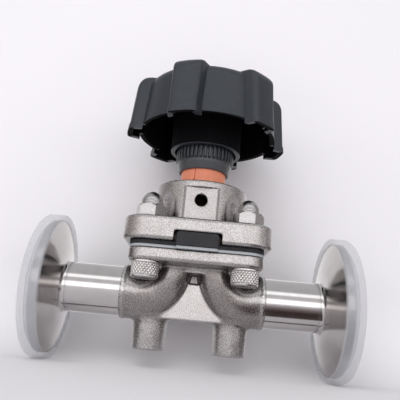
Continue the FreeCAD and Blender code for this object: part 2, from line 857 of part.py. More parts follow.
def wheel_hub():
    """Tube that takes the collar from below and the nut from above, with the driving web between them."""
    seat = tooth_tip_radius + running_gap
    corners = [
        (hub_mouth_radius, hub_bottom),
        (hub_radius, hub_bottom),
        (hub_radius, wheel_top - wheel_wall / 2),
        (well_radius, wheel_top - wheel_wall / 2),
        (well_radius, web_top),
        (0, web_top),
        (0, web_bottom),
        (hub_ledge_radius, web_bottom),
        (hub_ledge_radius, collar_top),
        (seat, collar_top),
        (seat, hub_bottom + hub_mouth_depth),
        (hub_mouth_radius, hub_bottom + hub_mouth_depth),
    ]
    square = spindle_square / 2 + running_gap
    return turned_up(corners).cut(centred_box(square, square, web_bottom - run_past, web_top + run_past))


def handwheel():
    """Hollow bell with hollow lobes, a hub tube and a seat for the cover in its top."""
    outside = bell(0, bell_bottom, wheel_top, shoulder_radius)
    lip = tip_rounded(lobe_prism(-lobe_lip_proud, lobe_bottom, lobe_bottom + lobe_lip_height), lobe_corner)
    inside_top = wheel_top - wheel_wall
    hollow_bottom = lobe_bottom - run_past
    hollow = bell(wheel_wall, hollow_bottom, inside_top, shoulder_radius / 2)
    lobe_hollow = lobe_prism(wheel_wall, hollow_bottom, inside_top - shoulder_radius / 2)
    lobe_hollow = tip_rounded(lobe_hollow, lobe_inner_corner)
    under_rim = pillar(bell_radius, hollow_bottom, bell_bottom - hollow_bottom)
    shell = outside.fuse(all_round(outer_lobe()) + all_round(lip))
    shell = shell.cut([hollow, under_rim] + all_round(lobe_hollow))
    shell = shell.cut(pillar(hub_radius - run_past, hollow_bottom, 2 * wheel_depth))
    cover_seat = pillar(cover_radius + running_gap, wheel_top - cover_thickness, cover_thickness + run_past)
    return shell.fuse(wheel_hub()).cut(cover_seat).removeSplitter()


def wheel_cover():
    disc_bottom = wheel_top - cover_thickness
    skirt_outside = well_radius - running_gap
    corners = [
        (0, disc_bottom),
        (skirt_outside - cover_skirt_wall, disc_bottom),
        (skirt_outside - cover_skirt_wall, disc_bottom - cover_skirt_depth),
        (skirt_outside, disc_bottom - cover_skirt_depth),
        (skirt_outside, disc_bottom),
        (cover_radius, disc_bottom),
        (cover_radius, wheel_top, small_edge),
        (0, wheel_top),
    ]
    return turned_up(corners)


def wheel_washer():
    ring = pillar(washer_radius, web_top, washer_thickness)
    return ring.cut(pillar(spindle_tip_radius + washer_gap, web_top, washer_thickness))


def wheel_nut():
    bottom = web_top + washer_thickness
    body = hexagon(nut_flats, bottom, wheel_nut_height)
    return body.cut(pillar(spindle_tip_radius + nut_thread_gap, bottom, wheel_nut_height))


os.makedirs("parts", exist_ok=True)
parts = {
    "valve_body": valve_body(),
    "inlet_ferrule": ferrule(-1),
    "outlet_ferrule": ferrule(1),
    "inlet_cap": protective_cap(-1),
    "outlet_cap": protective_cap(1),
    "diaphragm_facing": diaphragm_facing(),
    "diaphragm_backing": diaphragm_backing(),
    "diaphragm_stud": diaphragm_stud(),
    "compressor": compressor(),
    "compressor_pins": compressor_pins(),
    "spindle": spindle(),
    "spindle_bush": spindle_bush(),
    "spindle_seal": spindle_seal(),
    "bonnet": bonnet(),
    "cap_screws": cap_screws(),
    "acorn_nuts": acorn_nuts(),
    "indicator_sleeve": indicator_sleeve(),
    "stroke_collar": stroke_collar(),
    "handwheel": handwheel(),
    "wheel_washer": wheel_washer(),
    "wheel_nut": wheel_nut(),
    "wheel_cover": wheel_cover(),
}
for name, shape in parts.items():
    shape.exportStep(f"parts/{name}.step")
    print(name, len(shape.Solids), round(shape.Volume, 1), shape.isValid())
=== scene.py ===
import json
import math

import bmesh
import bpy
import numpy as np
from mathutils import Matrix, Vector
from mathutils.geometry import tessellate_polygon


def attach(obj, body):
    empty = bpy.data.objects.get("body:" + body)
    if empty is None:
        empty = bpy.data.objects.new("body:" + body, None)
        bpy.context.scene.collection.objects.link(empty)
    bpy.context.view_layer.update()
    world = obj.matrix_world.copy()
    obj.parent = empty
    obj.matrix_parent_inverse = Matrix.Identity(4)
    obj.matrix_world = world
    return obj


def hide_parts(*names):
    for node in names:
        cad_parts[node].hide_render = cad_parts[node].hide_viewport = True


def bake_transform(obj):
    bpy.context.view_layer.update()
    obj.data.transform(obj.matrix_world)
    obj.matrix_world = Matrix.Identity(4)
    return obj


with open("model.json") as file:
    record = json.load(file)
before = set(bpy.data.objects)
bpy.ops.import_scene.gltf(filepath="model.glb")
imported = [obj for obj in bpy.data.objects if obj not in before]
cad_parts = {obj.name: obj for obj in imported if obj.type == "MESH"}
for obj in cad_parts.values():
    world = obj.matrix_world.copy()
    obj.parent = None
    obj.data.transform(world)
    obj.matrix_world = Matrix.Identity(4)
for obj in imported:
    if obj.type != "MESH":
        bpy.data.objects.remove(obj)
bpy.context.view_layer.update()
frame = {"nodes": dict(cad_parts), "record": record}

MM = 0.001
SAME_PLACE = 1e-7

# Sizes of the real object in millimetres, as in the part's source

# Clamp ends
TUBE_R, BORE_R, SPIGOT_R = 9.525, 7.875, 10.2
CONE_X, RIM_X, FACE_X = 49.25, 53.15, 56.0
RIM_R, GROOVE_R, GROOVE_SECTION = 25.25, 21.75, 1.3

# Casting
BODY_END, BEAD_X = 27.4, 26.3
BEND_X, BEND_Z = 25.2, 11.1
MOUTH_OUTER, MOUTH_X, MOUTH_Y = 24.1, 6.1, 13.0
WEB_Z, WEB_HALF, WEB_TOP, WEB_LEAN_X, WEB_LEAN_Z = -9.4, 2.0, 9.0, 0.8925, 0.4511
GUSSET_HALF, GUSSET_TOP, GUSSET_LEAN_X, GUSSET_LEAN_Z = 6.0, 4.6, 0.7755, 0.6314
WEIR_Z, WEIR_SIZE = 9.6, (5.1, 12.0, 1.6)
FOOT_X, FOOT_Z, FOOT_R, FOOT_TAPER = 15.4, -21.0, 6.05, 0.048
FOOT_HOLE_R, DRILL_Z, DRILL_TIP_Z, DRILL_SLOPE = 2.1, -13.0, -11.0, 1.68
BOWL_Z, BOWL_R = 45.99, 34.79
FLANGE_UNDER, SEAT_Z, FLANGE_HALF, FLANGE_CORNER = 10.1, 14.6, 24.45, 6.45

# Bonnet, with everything that the bolts, the stem and the diaphragm need
BACKING_Z, BONNET_Z, BONNET_TOP, NECK_TOP = 15.6, 17.2, 25.7, 42.5
BONNET_HALF, BONNET_CORNER, NECK_R, SOFT_EDGE = 27.1, 9.1, 18.4, 0.8
BOLT, BOLT_HOLE_R = 18.0, 3.3
FLUTE_R, FLUTE_END_Z, FLUTE_SLOPE = 8.3, 34.7, 0.4
FLAT_X, FLAT_Y, FLAT_TOP = 9.2, 17.3, 39.7
TELLTALE_Z, TELLTALE_R = 34.8, 2.3
NOTCH_HALF, NOTCH_TOP, NOTCH_FLOOR_Y = 8.4, 20.8, 22.5
TAB_HALF = 7.4
CHAMBER_R, CHAMBER_TOP, STEP_R, STEP_TOP = 15.6, 21.5, 12.9, 25.25
GUIDE_R, GUIDE_TOP, KEYWAY_X, KEYWAY_HALF = 9.1, 37.6, 11.2, 2.1
STEM_R, SLEEVE_SEAT_R, SLEEVE_SEAT_Z = 7.25, 9.25, 40.0


# Small helpers

def rounded(corners, turn=9.0):
    """Closed outline whose corners (a, b, radius) are drawn as arcs."""
    count = len(corners)
    line = []
    for i, corner in enumerate(corners):
        point = np.array(corner[:2], float)
        radius = corner[2] if len(corner) > 2 else 0.0
        if radius <= 0:
            line.append(point)
            continue
        before = np.array(corners[i - 1][:2], float) - point
        after = np.array(corners[(i + 1) % count][:2], float) - point
        before /= np.linalg.norm(before)
        after /= np.linalg.norm(after)
        half = math.acos(float(np.clip(before @ after, -1, 1))) / 2
        middle = before + after
        centre = point + middle / np.linalg.norm(middle) * radius / math.sin(half)
        start = point + before * radius / math.tan(half) - centre
        end = point + after * radius / math.tan(half) - centre
        first = math.atan2(start[1], start[0])
        swing = (math.atan2(end[1], end[0]) - first + math.pi) % (2 * math.pi) - math.pi
        steps = max(2, math.ceil(abs(swing) / math.radians(turn)))
        for k in range(steps + 1):
            angle = first + swing * k / steps
            line.append(centre + radius * np.array([math.cos(angle), math.sin(angle)]))
    return np.array(line)


def moved_in(line, distance):
    """A closed outline, run anticlockwise, drawn in by a distance."""
    along = np.roll(line, -1, axis=0) - line
    along /= np.linalg.norm(along, axis=1)[:, None]
    left = np.stack([-along[:, 1], along[:, 0]], -1)
    middle = left + np.roll(left, 1, axis=0)
    return line + middle * (2 * distance / (middle ** 2).sum(1))[:, None]


def plate(outline, holes, low, high, edge):
    """Flat plate with round holes (x, y, radius) and softened outer edges."""
    circles = []
    for x, y, radius in holes:
        turns = np.linspace(0, 2 * math.pi, 49)[:-1]
        circles.append(np.stack([x + radius * np.cos(turns), y - radius * np.sin(turns)], -1))
    small = moved_in(outline, edge)
    rows = [(small, low), (outline, low + edge), (outline, high - edge), (small, high)]
    shapes = []
    for levels in [rows] + [[(circle, low), (circle, high)] for circle in circles]:
        rings = [np.column_stack([plan, np.full(len(plan), height)]) for plan, height in levels]
        shapes.append((np.concatenate(rings), ring_faces(len(levels), len(rings[0]), closed=False)))
    loops = [small] + circles
    flat = np.concatenate(loops)
    triangles = np.array(tessellate_polygon([[Vector((*p, 0)) for p in loop] for loop in loops]))
    for height in (low, high):
        points = np.column_stack([flat, np.full(len(flat), height)])
        shapes.append((points, np.column_stack([triangles, triangles[:, 2]])))
    return joined(shapes)


def ring_faces(rings, columns, closed=True):
    """Quads between neighbouring rings of points, each ring closed on itself."""
    ring = np.arange(rings if closed else rings - 1)[:, None]
    column = np.arange(columns)[None, :]
    right = (column + 1) % columns
    below, above = ring * columns, (ring + 1) % rings * columns
    return np.stack([below + column, below + right, above + right, above + column], -1).reshape(-1, 4)


def turned_z(profile, columns=128, closed=True):
    """Points and faces of a ring turned round Z from an outline of (radius, height)."""
    angles = np.linspace(0, 2 * math.pi, columns, endpoint=False)
    radius, height = profile[:, 0][:, None], profile[:, 1][:, None]
    points = np.stack([radius * np.cos(angles), radius * np.sin(angles), height + 0 * angles], -1)
    return points.reshape(-1, 3), ring_faces(len(profile), columns, closed)


def turned_x(profile, side, columns=192):
    """The same round X, from (distance along, radius)."""
    angles = np.linspace(0, 2 * math.pi, columns, endpoint=False)
    along, radius = side * profile[:, 0][:, None], profile[:, 1][:, None]
    points = np.stack([along + 0 * angles, radius * np.cos(angles), radius * np.sin(angles)], -1)
    return points.reshape(-1, 3), ring_faces(len(profile), columns)


def joined(pieces):
    """Several (points, faces) as one."""
    points, faces, start = [], [], 0
    for more_points, more_faces in pieces:
        points.append(more_points)
        faces.append(np.asarray(more_faces) + start)
        start += len(more_points)
    return np.concatenate(points), np.concatenate(faces)


def piece(name, shape, material, body, nodes=(), crisp=32.0, normals=None):
    """A finished object from points in millimetres, on its body and in the place of its CAD nodes.

    With normals of its own it is taken as clean; without, its doubles are welded and its edges over
    the angle crisp stay sharp.
    """
    points, faces = shape
    mesh = bpy.data.meshes.new(name)
    corners = [list(dict.fromkeys(face)) for face in np.asarray(faces).tolist()]
    mesh.from_pydata((np.asarray(points) * MM).tolist(), [], corners)
    if normals is None:
        work = bmesh.new()
        work.from_mesh(mesh)
        bmesh.ops.remove_doubles(work, verts=work.verts, dist=SAME_PLACE)
        bmesh.ops.dissolve_degenerate(work, edges=work.edges, dist=SAME_PLACE)
        bmesh.ops.recalc_face_normals(work, faces=work.faces)
        work.to_mesh(mesh)
        work.free()
    mesh.shade_smooth()
    if normals is not None:
        mesh.normals_split_custom_set_from_vertices(normals.tolist())
    else:
        mesh.set_sharp_from_angle(angle=math.radians(crisp))
    mesh.materials.append(material)
    thing = bpy.data.objects.new(name, mesh)
    bpy.context.scene.collection.objects.link(thing)
    if normals is None:
        weighted = thing.modifiers.new("weighted", "WEIGHTED_NORMAL")
        weighted.keep_sharp = True
    if nodes:
        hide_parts(*nodes)
    if body:
        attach(thing, body)
    return thing


# Distance fields for the two castings, turned into a fine net of quads

def near_min(a, b, blend):
    """The smaller of two fields, rounded off over a short way where they meet."""
    share = np.clip(0.5 + 0.5 * (b - a) / blend, 0, 1)
    return b + (a - b) * share - blend * share * (1 - share)


def near_max(a, b, blend):
    return -near_min(-a, -b, blend)


def corner_field(a, b, radius):
    """Two faces that meet in a rounded edge, from their fields moved in by its radius."""
    return np.minimum(np.maximum(a, b), 0) + np.hypot(np.maximum(a, 0), np.maximum(b, 0)) - radius


def rounded_plate(x, y, z, half, corner, low, high, edge_low, edge_high):
    """Square plate with round plan corners and rounded edges."""
    plan = corner_field(np.abs(x) - (half - corner), np.abs(y) - (half - corner), corner)
    middle = (low + high) / 2
    tall = np.abs(z - middle) - (high - low) / 2
    edge = np.where(z < middle, edge_low, edge_high)
    return corner_field(plan + edge, tall + edge, edge)


def box_field(x, y, z, centre, half):
    sides = [np.abs(value - middle) - reach for value, middle, reach in zip((x, y, z), centre, half)]
    outside = np.sqrt(sum(np.maximum(side, 0) ** 2 for side in sides))
    return outside + np.minimum(np.maximum(np.maximum(sides[0], sides[1]), sides[2]), 0)


def eased(share):
    share = np.clip(share, 0, 1)
    return share * share * (3 - 2 * share)


def duct_field(x, y, z, thinner):
    """Swept duct from the pipe line round the bend and up to the seat; x is the distance from the middle."""
    dx, dz = BEND_X - x, z - BEND_Z
    share = np.clip(np.arctan2(dz, dx) / (math.pi / 2) + 1, 0, 1)
    ease = eased(share)
    outer = BEND_Z + SPIGOT_R + (MOUTH_OUTER - BEND_Z - SPIGOT_R) * eased(2 * share)
    half_radial = SPIGOT_R + (MOUTH_X - SPIGOT_R) * ease
    half_y = SPIGOT_R + (MOUTH_Y - SPIGOT_R) * ease
    power = 2 + ease
    past_bend = np.where(dz > 0, np.minimum(dx, 30), -dz)
    reach = np.where((dx >= 0) & (dz <= 0), np.hypot(dx, dz), past_bend)
    a, b = half_radial - thinner, half_y - thinner
    u = np.abs(reach - (outer - half_radial)) / a + 1e-6
    v = np.abs(y) / b + 1e-6
    size = (u ** power + v ** power) ** (1 / power)
    steep = size ** (1 - power) * np.hypot(u ** (power - 1) / a, v ** (power - 1) / b)
    return (size - 1) / steep


def casting_field(x, y, z):
    """Valve body: two ducts, web, feet, flange, weir and every hole."""
    turn = np.arctan2(z, y)
    signed = x
    x = np.abs(x)
    wall = SPIGOT_R - BORE_R
    ducts = np.maximum(duct_field(x, y, z, 0.0), z - SEAT_Z)
    ducts = near_max(ducts, x - BODY_END, 0.4)
    from_foot = np.hypot(x - FOOT_X, y)
    foot = near_max(from_foot - FOOT_R - FOOT_TAPER * (z - FOOT_Z), FOOT_Z - z, 0.7)
    solid = near_min(ducts, np.maximum(foot, z + 4.0), 1.6)
    # Web and gusset rise to the ducts along lines from the feet
    web = np.maximum((x - FOOT_X) * WEB_LEAN_X + (z - WEB_Z) * WEB_LEAN_Z, np.abs(y) - WEB_HALF)
    web = np.maximum(web, np.maximum(WEB_Z - z, z - WEB_TOP))
    gusset = (x - FOOT_X) * GUSSET_LEAN_X + (z - WEB_Z) * GUSSET_LEAN_Z
    gusset = near_max(gusset, np.abs(y) - GUSSET_HALF, 0.8)
    gusset = near_max(near_max(gusset, z - GUSSET_TOP, 0.8), WEB_Z - z, 0.8)
    solid = near_min(solid, near_min(web, gusset, 0.6), 0.6)
    solid = near_min(solid, box_field(x, y, z, (0, 0, WEIR_Z), WEIR_SIZE), 0.6)
    flange = rounded_plate(x, y, z, FLANGE_HALF, FLANGE_CORNER, FLANGE_UNDER, SEAT_Z, 1.2, 0.6)
    solid = near_min(solid, flange, 1.6)
    solid = near_max(solid, z - SEAT_Z, 0.4)
    # Weld bead of uneven height and place
    wave = 0.5 * np.sin(17 * turn + 1.3 * signed) + 0.3 * np.sin(41 * turn + 2.0) + 0.2 * np.sin(73 * turn)
    swell = np.exp(-((x - BEAD_X + 0.15 * wave) / 0.75) ** 2)
    bead = np.hypot(y, z) - SPIGOT_R - (0.2 + 0.06 * wave) * swell
    solid = np.minimum(solid, np.maximum(bead, np.abs(x - BEAD_X) - 1.0))
    hollow = duct_field(x, y, z, wall)
    hollow = near_min(hollow, np.sqrt(x ** 2 + y ** 2 + (z - BOWL_Z) ** 2) - BOWL_R, 0.8)
    solid = near_max(solid, -hollow, 0.5)
    bolt = np.maximum(np.hypot(x - BOLT, np.abs(y) - BOLT) - BOLT_HOLE_R, FLANGE_UNDER - 1.0 - z)
    solid = np.maximum(solid, -bolt)
    drill = np.maximum(from_foot - FOOT_HOLE_R + np.maximum(z - DRILL_Z, 0) * DRILL_SLOPE, z - DRILL_TIP_Z)
    return near_max(solid, -drill, 0.3)


def bonnet_field(x, y, z):
    """Bonnet: square flange, fluted neck with flats, and the hollows for stem and diaphragm."""
    flange = rounded_plate(x, y, z, BONNET_HALF, BONNET_CORNER, BONNET_Z, BONNET_TOP, 1.2, 1.2)
    from_stem = np.hypot(x, y)
    from_bolt = np.hypot(np.abs(x) - BOLT, np.abs(y) - BOLT)
    neck = corner_field(from_stem - NECK_R + SOFT_EDGE, z - NECK_TOP + SOFT_EDGE, SOFT_EDGE)
    neck = np.maximum(neck, BONNET_TOP - 2.0 - z)
    flute = from_bolt - FLUTE_R + np.clip((z - FLUTE_END_Z) * FLUTE_SLOPE, 0, 8)
    neck = near_max(neck, -flute, 0.9)
    flat = np.maximum(np.maximum(FLAT_Y - np.abs(y), np.abs(x) - FLAT_X), z - FLAT_TOP)
    neck = near_max(neck, -flat, 0.25)
    solid = near_min(flange, neck, 1.2)
    telltale = np.maximum(np.hypot(x, z - TELLTALE_Z) - TELLTALE_R, y)
    solid = near_max(solid, -telltale, 0.35)
    notch = corner_field(np.abs(x) - NOTCH_HALF + SOFT_EDGE, z - NOTCH_TOP + SOFT_EDGE, SOFT_EDGE)
    solid = near_max(solid, -np.maximum(notch, y + NOTCH_FLOOR_Y), 0.5)
    hollows = [
        np.maximum(from_stem - CHAMBER_R, z - CHAMBER_TOP),
        np.maximum(from_stem - STEP_R, z - STEP_TOP),
        np.maximum(from_stem - GUIDE_R, z - GUIDE_TOP),
        np.maximum(np.maximum(np.abs(x) - KEYWAY_X, np.abs(y) - KEYWAY_HALF), z - GUIDE_TOP),
        from_stem - STEM_R,
        np.maximum(from_stem - SLEEVE_SEAT_R, SLEEVE_SEAT_Z - z),
        np.maximum(from_bolt - BOLT_HOLE_R, z - 26.7),
    ]
    for hollow in hollows:
        solid = np.maximum(solid, -hollow)
    return solid


def surface_net(field, low, high, step):
    """Quads on the zero surface of a field, with one point in each cell that the surface crosses."""
    low = np.array(low, float)
    counts = [int(math.ceil((h - l) / step)) + 1 for l, h in zip(low, high)]
    axes = [low[i] + step * np.arange(counts[i]) for i in range(3)]
    grid = np.meshgrid(*axes, indexing="ij")
    value = field(*grid)
    inside = value < 0
    corner = inside.astype(np.int8)
    total = np.zeros([n - 1 for n in counts], np.int8)
    for i in (0, 1):
        for j in (0, 1):
            for k in (0, 1):
                total += corner[i:counts[0] - 1 + i, j:counts[1] - 1 + j, k:counts[2] - 1 + k]
    active = (total > 0) & (total < 8)
    cells = np.argwhere(active)
    index = np.full(active.shape, -1, np.int64)
    index[active] = np.arange(len(cells))
    summed = np.zeros((len(cells), 3))
    crossings = np.zeros(len(cells))
    for axis in range(3):
        others = [o for o in range(3) if o != axis]
        for i in (0, 1):
            for j in (0, 1):
                start = np.zeros(3, int)
                start[others[0]], start[others[1]] = i, j
                end = start.copy()
                end[axis] = 1
                a = value[tuple((cells + start).T)]
                b = value[tuple((cells + end).T)]
                crossed = (a < 0) != (b < 0)
                share = np.where(crossed, a / np.where(crossed, a - b, 1), 0)
                place = start + share[:, None] * (end - start)
                summed += np.where(crossed[:, None], place, 0)
                crossings += crossed
    points = low + step * (cells + summed / crossings[:, None])
    faces = []
    for axis in range(3):
        u, v = (axis + 1) % 3, (axis + 2) % 3
        lower = [slice(None)] * 3
        upper = [slice(None)] * 3
        lower[axis], upper[axis] = slice(0, -1), slice(1, None)
        change = inside[tuple(lower)] != inside[tuple(upper)]
        edges = np.argwhere(change)
        inner = [(edges[:, w] > 0) & (edges[:, w] < counts[w] - 1) for w in (u, v)]
        edges = edges[inner[0] & inner[1]]
        ring = []
        for du, dv in ((1, 1), (0, 1), (0, 0), (1, 0)):
            cell = edges.copy()
            cell[:, u] -= du
            cell[:, v] -= dv
            ring.append(index[tuple(cell.T)])
        faces.append(np.stack(ring, -1))
    faces = np.concatenate(faces)

    def slope(at):
        small = 0.02
        parts = []
        for axis in range(3):
            shift = np.zeros(3)
            shift[axis] = small
            ahead, behind = at + shift, at - shift
            parts.append((field(*ahead.T) - field(*behind.T)) / (2 * small))
        return np.stack(parts, -1)

    for _ in range(3):
        steep = slope(points)
        size = np.maximum((steep ** 2).sum(1), 1e-6)
        move = -steep * (field(*points.T) / size)[:, None]
        length = np.linalg.norm(move, axis=1)
        move *= np.minimum(1, 0.35 * step / np.maximum(length, 1e-9))[:, None]
        points = points + move
    steep = slope(points)
    normals = steep / np.maximum(np.linalg.norm(steep, axis=1), 1e-9)[:, None]
    # Each quad's winding follows the field's slope
    a, b, c, d = (points[faces[:, i]] for i in range(4))
    facing = (np.cross(c - a, d - b) * normals[faces[:, 0]]).sum(1)
    faces = np.where((facing < 0)[:, None], faces[:, ::-1], faces)
    return points, faces, normals


# Materials, each from procedural nodes with sizes in millimetres

def node(tree, kind, inputs=(), **settings):
    """New shader node; each of its inputs is a socket or a plain value."""
    new = tree.nodes.new("ShaderNode" + kind)
    for name, value in settings.items():
        setattr(new, name, value)
    for socket, value in dict(inputs).items():
        if isinstance(value, bpy.types.NodeSocket):
            tree.links.new(value, new.inputs[socket])
        else:
            new.inputs[socket].default_value = value
    return new


def empty(name):
    """New material without nodes."""
    material = bpy.data.materials.new(name)
    material.use_nodes = True
    material.node_tree.nodes.clear()
    return material, material.node_tree


def blank(name):
    """New material with its shader, and with places on the piece in millimetres."""
    material, tree = empty(name)
    shader = node(tree, "BsdfPrincipled")
    node(tree, "OutputMaterial", {0: shader.outputs[0]})
    metres = node(tree, "TexCoord").outputs["Object"]
    place = node(tree, "Mapping", {0: metres, "Scale": (1000, 1000, 1000)}).outputs[0]
    return material, tree, shader, place


def noise(tree, place, scale, detail=3.0, rough=0.5, stretch=None):
    if stretch:
        place = node(tree, "Mapping", {0: place, "Scale": stretch}).outputs[0]
    inputs = {"Vector": place, "Scale": scale, "Detail": detail, "Roughness": rough}
    return node(tree, "TexNoise", inputs).outputs["Fac"]


def ramp(tree, value, stops):
    """Colour by a value, from stops of (value, colour)."""
    new = node(tree, "ValToRGB", {0: value})
    line = new.color_ramp
    while len(line.elements) < len(stops):
        line.elements.new(0.5)
    for element, (place, colour) in zip(line.elements, stops):
        element.position = place
        element.color = (*colour[:3], 1)
    return new.outputs[0]


def ranged(tree, value, start, end, low=0.0, high=1.0, **settings):
    """Value between start and end mapped to low and high, and held there beyond them."""
    inputs = {0: value, "From Min": start, "From Max": end, "To Min": low, "To Max": high}
    return node(tree, "MapRange", inputs, **settings).outputs[0]


def spread(tree, value, low, high):
    """Noise value mapped to a range."""
    return ranged(tree, value, 0.25, 0.75, low, high)


def bump(tree, height, strength, distance, below=None):
    inputs = {"Height": height, "Strength": strength, "Distance": distance * MM}
    if below is not None:
        inputs["Normal"] = below
    return node(tree, "Bump", inputs).outputs[0]


def mix_colour(tree, kind, share, first, second):
    """Two colours blended; a share or colour may be a socket or a plain value."""
    inputs = {0: share, 6: first, 7: second}
    return node(tree, "Mix", inputs, data_type="RGBA", blend_type=kind).outputs[2]


def painted_corner_shade(tree, colour, reach, deepest):
    """Painted shade: colour darkened in corners and seams by ambient occlusion."""
    light = node(tree, "AmbientOcclusion", {"Distance": reach * MM}, samples=6).outputs["AO"]
    share = ramp(tree, light, [(0.34, deepest), (0.82, (1, 1, 1))])
    return mix_colour(tree, "MULTIPLY", 1.0, colour, share)


def reckon(tree, kind, first, second=0.0):
    """Math on two values, each a socket or a plain number."""
    return node(tree, "Math", {0: first, 1: second}, operation=kind).outputs[0]


def product(tree, first, *others):
    for other in others:
        first = reckon(tree, "MULTIPLY", first, other)
    return first


def distance(tree, first, second):
    """Length of a way whose two parts are given."""
    squares = reckon(tree, "ADD", product(tree, first, first), product(tree, second, second))
    return reckon(tree, "SQRT", squares)


def band(tree, value, low, high, fade):
    """One between two values, fading to nothing over a short way on both sides."""
    half = (high - low) / 2
    from_middle = reckon(tree, "ABSOLUTE", reckon(tree, "SUBTRACT", value, (low + high) / 2))
    return ranged(tree, from_middle, half + fade, half)


def axes(tree, place):
    """The three coordinates of a place, then the sizes of its X and Y."""
    parts = list(node(tree, "SeparateXYZ", {0: place}).outputs)
    return parts + [reckon(tree, "ABSOLUTE", part) for part in parts[:2]]


def cast_steel():
    """Bead-blasted casting: fine grains, whiter weld seams, painted shade in corners, next to the neck's
    front flat, at the foot of its flutes and on the outer side of each bend, and painted light on the
    gusset's flat faces.
    """
    material, tree, shader, place = blank("cast_steel")
    _, y, z, side, depth = axes(tree, place)
    wander = spread(tree, noise(tree, place, 0.9, 3.0, 0.6), -0.7, 0.7)
    uneven_side = reckon(tree, "ADD", side, wander)
    grain = noise(tree, place, 3.0, 4.0, 0.65)
    cloud = noise(tree, place, 0.16, 3.0, 0.5)
    grains = [(0.36, (0.29, 0.275, 0.27)), (0.50, (0.43, 0.415, 0.41)), (0.64, (0.63, 0.61, 0.605))]
    shade = ramp(tree, cloud, [(0.3, (0.86, 0.84, 0.83)), (0.7, (1, 1, 1))])
    whole = mix_colour(tree, "MULTIPLY", 1.0, ramp(tree, grain, grains), shade)
    seam = [(0.20, (0, 0, 0)), (0.34, (0.8, 0.8, 0.8)), (0.55, (0.8, 0.8, 0.8)), (0.68, (0, 0, 0))]
    seam = ramp(tree, ranged(tree, uneven_side, 25.0, 28.0), seam)
    whole = mix_colour(tree, "MIX", seam, whole, (0.58, 0.565, 0.56, 1))
    # Painted shade: dark lines next to the neck's front flat and dark feet of its flutes, where shade falls
    # in the concave corners
    front = band(tree, y, -20.0, -14.0, 0.4)
    beside = product(tree, band(tree, side, 6.05, 6.65, 0.3), band(tree, z, 24.0, 39.8, 0.3), front, 0.75)
    whole = mix_colour(tree, "MIX", beside, whole, (0.10, 0.09, 0.09, 1))
    root = product(tree, band(tree, uneven_side, 8.6, 10.6, 1.0), band(tree, z, 24.0, 27.5, 4.5), front, 0.85)
    whole = mix_colour(tree, "MIX", root, whole, (0.07, 0.06, 0.06, 1))
    # Painted shade in the corners, held back in the gap between the ducts, and painted shade on the outer
    # side of each bend
    gap = product(tree, band(tree, side, -4.5, 4.5, 1.5), band(tree, z, 5.0, 9.0, 1.0), 0.85)
    shaded = mix_colour(tree, "MIX", gap, painted_corner_shade(tree, whole, 4.6, (0.06, 0.05, 0.045)), whole)
    from_bend = [reckon(tree, "SUBTRACT", side, BEND_X), reckon(tree, "SUBTRACT", z, BEND_Z)]
    from_bend = distance(tree, *from_bend)
    # Painted shade: the outer side of each bend is darkened
    outer = product(tree, band(tree, from_bend, 13.5, 28.0, 2.5), band(tree, z, -10.5, 8.5, 1.5))
    shaded = mix_colour(tree, "MULTIPLY", outer, shaded, (0.77, 0.75, 0.74, 1))
    # Painted light: the gusset's flat faces are made lighter
    face = product(tree, band(tree, depth, 5.8, 6.2, 0.2), band(tree, z, -9.0, 6.0, 1.5))
    face = product(tree, face, band(tree, side, -10.0, 10.0, 3.0), 0.85)
    painted_lit_colour = mix_colour(tree, "ADD", 1.0, whole, (0.11, 0.105, 0.105, 1))
    tree.links.new(mix_colour(tree, "MIX", face, shaded, painted_lit_colour), shader.inputs["Base Color"])
    shader.inputs["Metallic"].default_value = 0.92
    tree.links.new(spread(tree, grain, 0.20, 0.34), shader.inputs["Roughness"])
    fine = bump(tree, noise(tree, place, 2.6, 3.0, 0.6), 0.4, 0.05)
    coarse = bump(tree, noise(tree, place, 0.8, 2.0, 0.5), 0.25, 0.12, fine)
    tree.links.new(coarse, shader.inputs["Normal"])
    return material


def polished_steel(name, rough, base, stretch, cone_shade=None):
    """Turned metal with fine streaks; cone_shade darkens the cones and rims of the clamp ends as painted
    shade.
    """
    material, tree, shader, place = blank(name)
    streak = noise(tree, place, 1.0, 3.0, 0.6, stretch)
    low = tuple(0.93 * c for c in base)
    colour = ramp(tree, noise(tree, place, 0.25, 3.0, 0.5), [(0.3, low), (0.7, base)])
    if cone_shade:
        side = axes(tree, place)[3]
        # Painted shade on the cones and rims
        colour = mix_colour(tree, "MULTIPLY", band(tree, side, 50.5, 57.0, 1.2), colour, cone_shade)
    tree.links.new(colour, shader.inputs["Base Color"])
    shader.inputs["Metallic"].default_value = 1.0
    tree.links.new(spread(tree, streak, *rough), shader.inputs["Roughness"])
    tree.links.new(bump(tree, streak, 0.25, 0.012), shader.inputs["Normal"])
    return material


def knurled_steel():
    """Painted shade in the knurl's grooves and painted light on its crests, by the distance from each screw's
    axis.
    """
    material, tree, shader, place = blank("knurled_steel")
    from_bolt = [reckon(tree, "SUBTRACT", size, BOLT) for size in axes(tree, place)[3:]]
    crest = ranged(tree, distance(tree, *from_bolt), 4.68, 4.98)
    groove_shade_crest_light = [(0.0, (0.36, 0.35, 0.35)), (0.5, (0.70, 0.68, 0.67)), (1.0, (0.92, 0.90, 0.89))]
    cloud = noise(tree, place, 0.9, 3.0, 0.5)
    cloud = ramp(tree, cloud, [(0.3, (0.82, 0.80, 0.79)), (0.7, (1, 1, 1))])
    whole = mix_colour(tree, "MULTIPLY", 1.0, ramp(tree, crest, groove_shade_crest_light), cloud)
    # Painted shade in the corners
    tree.links.new(painted_corner_shade(tree, whole, 1.0, (0.30, 0.28, 0.27)), shader.inputs["Base Color"])
    shader.inputs["Metallic"].default_value = 1.0
    rough = spread(tree, noise(tree, place, 3.0, 2.0, 0.5), 0.20, 0.30)
    tree.links.new(rough, shader.inputs["Roughness"])
    return material


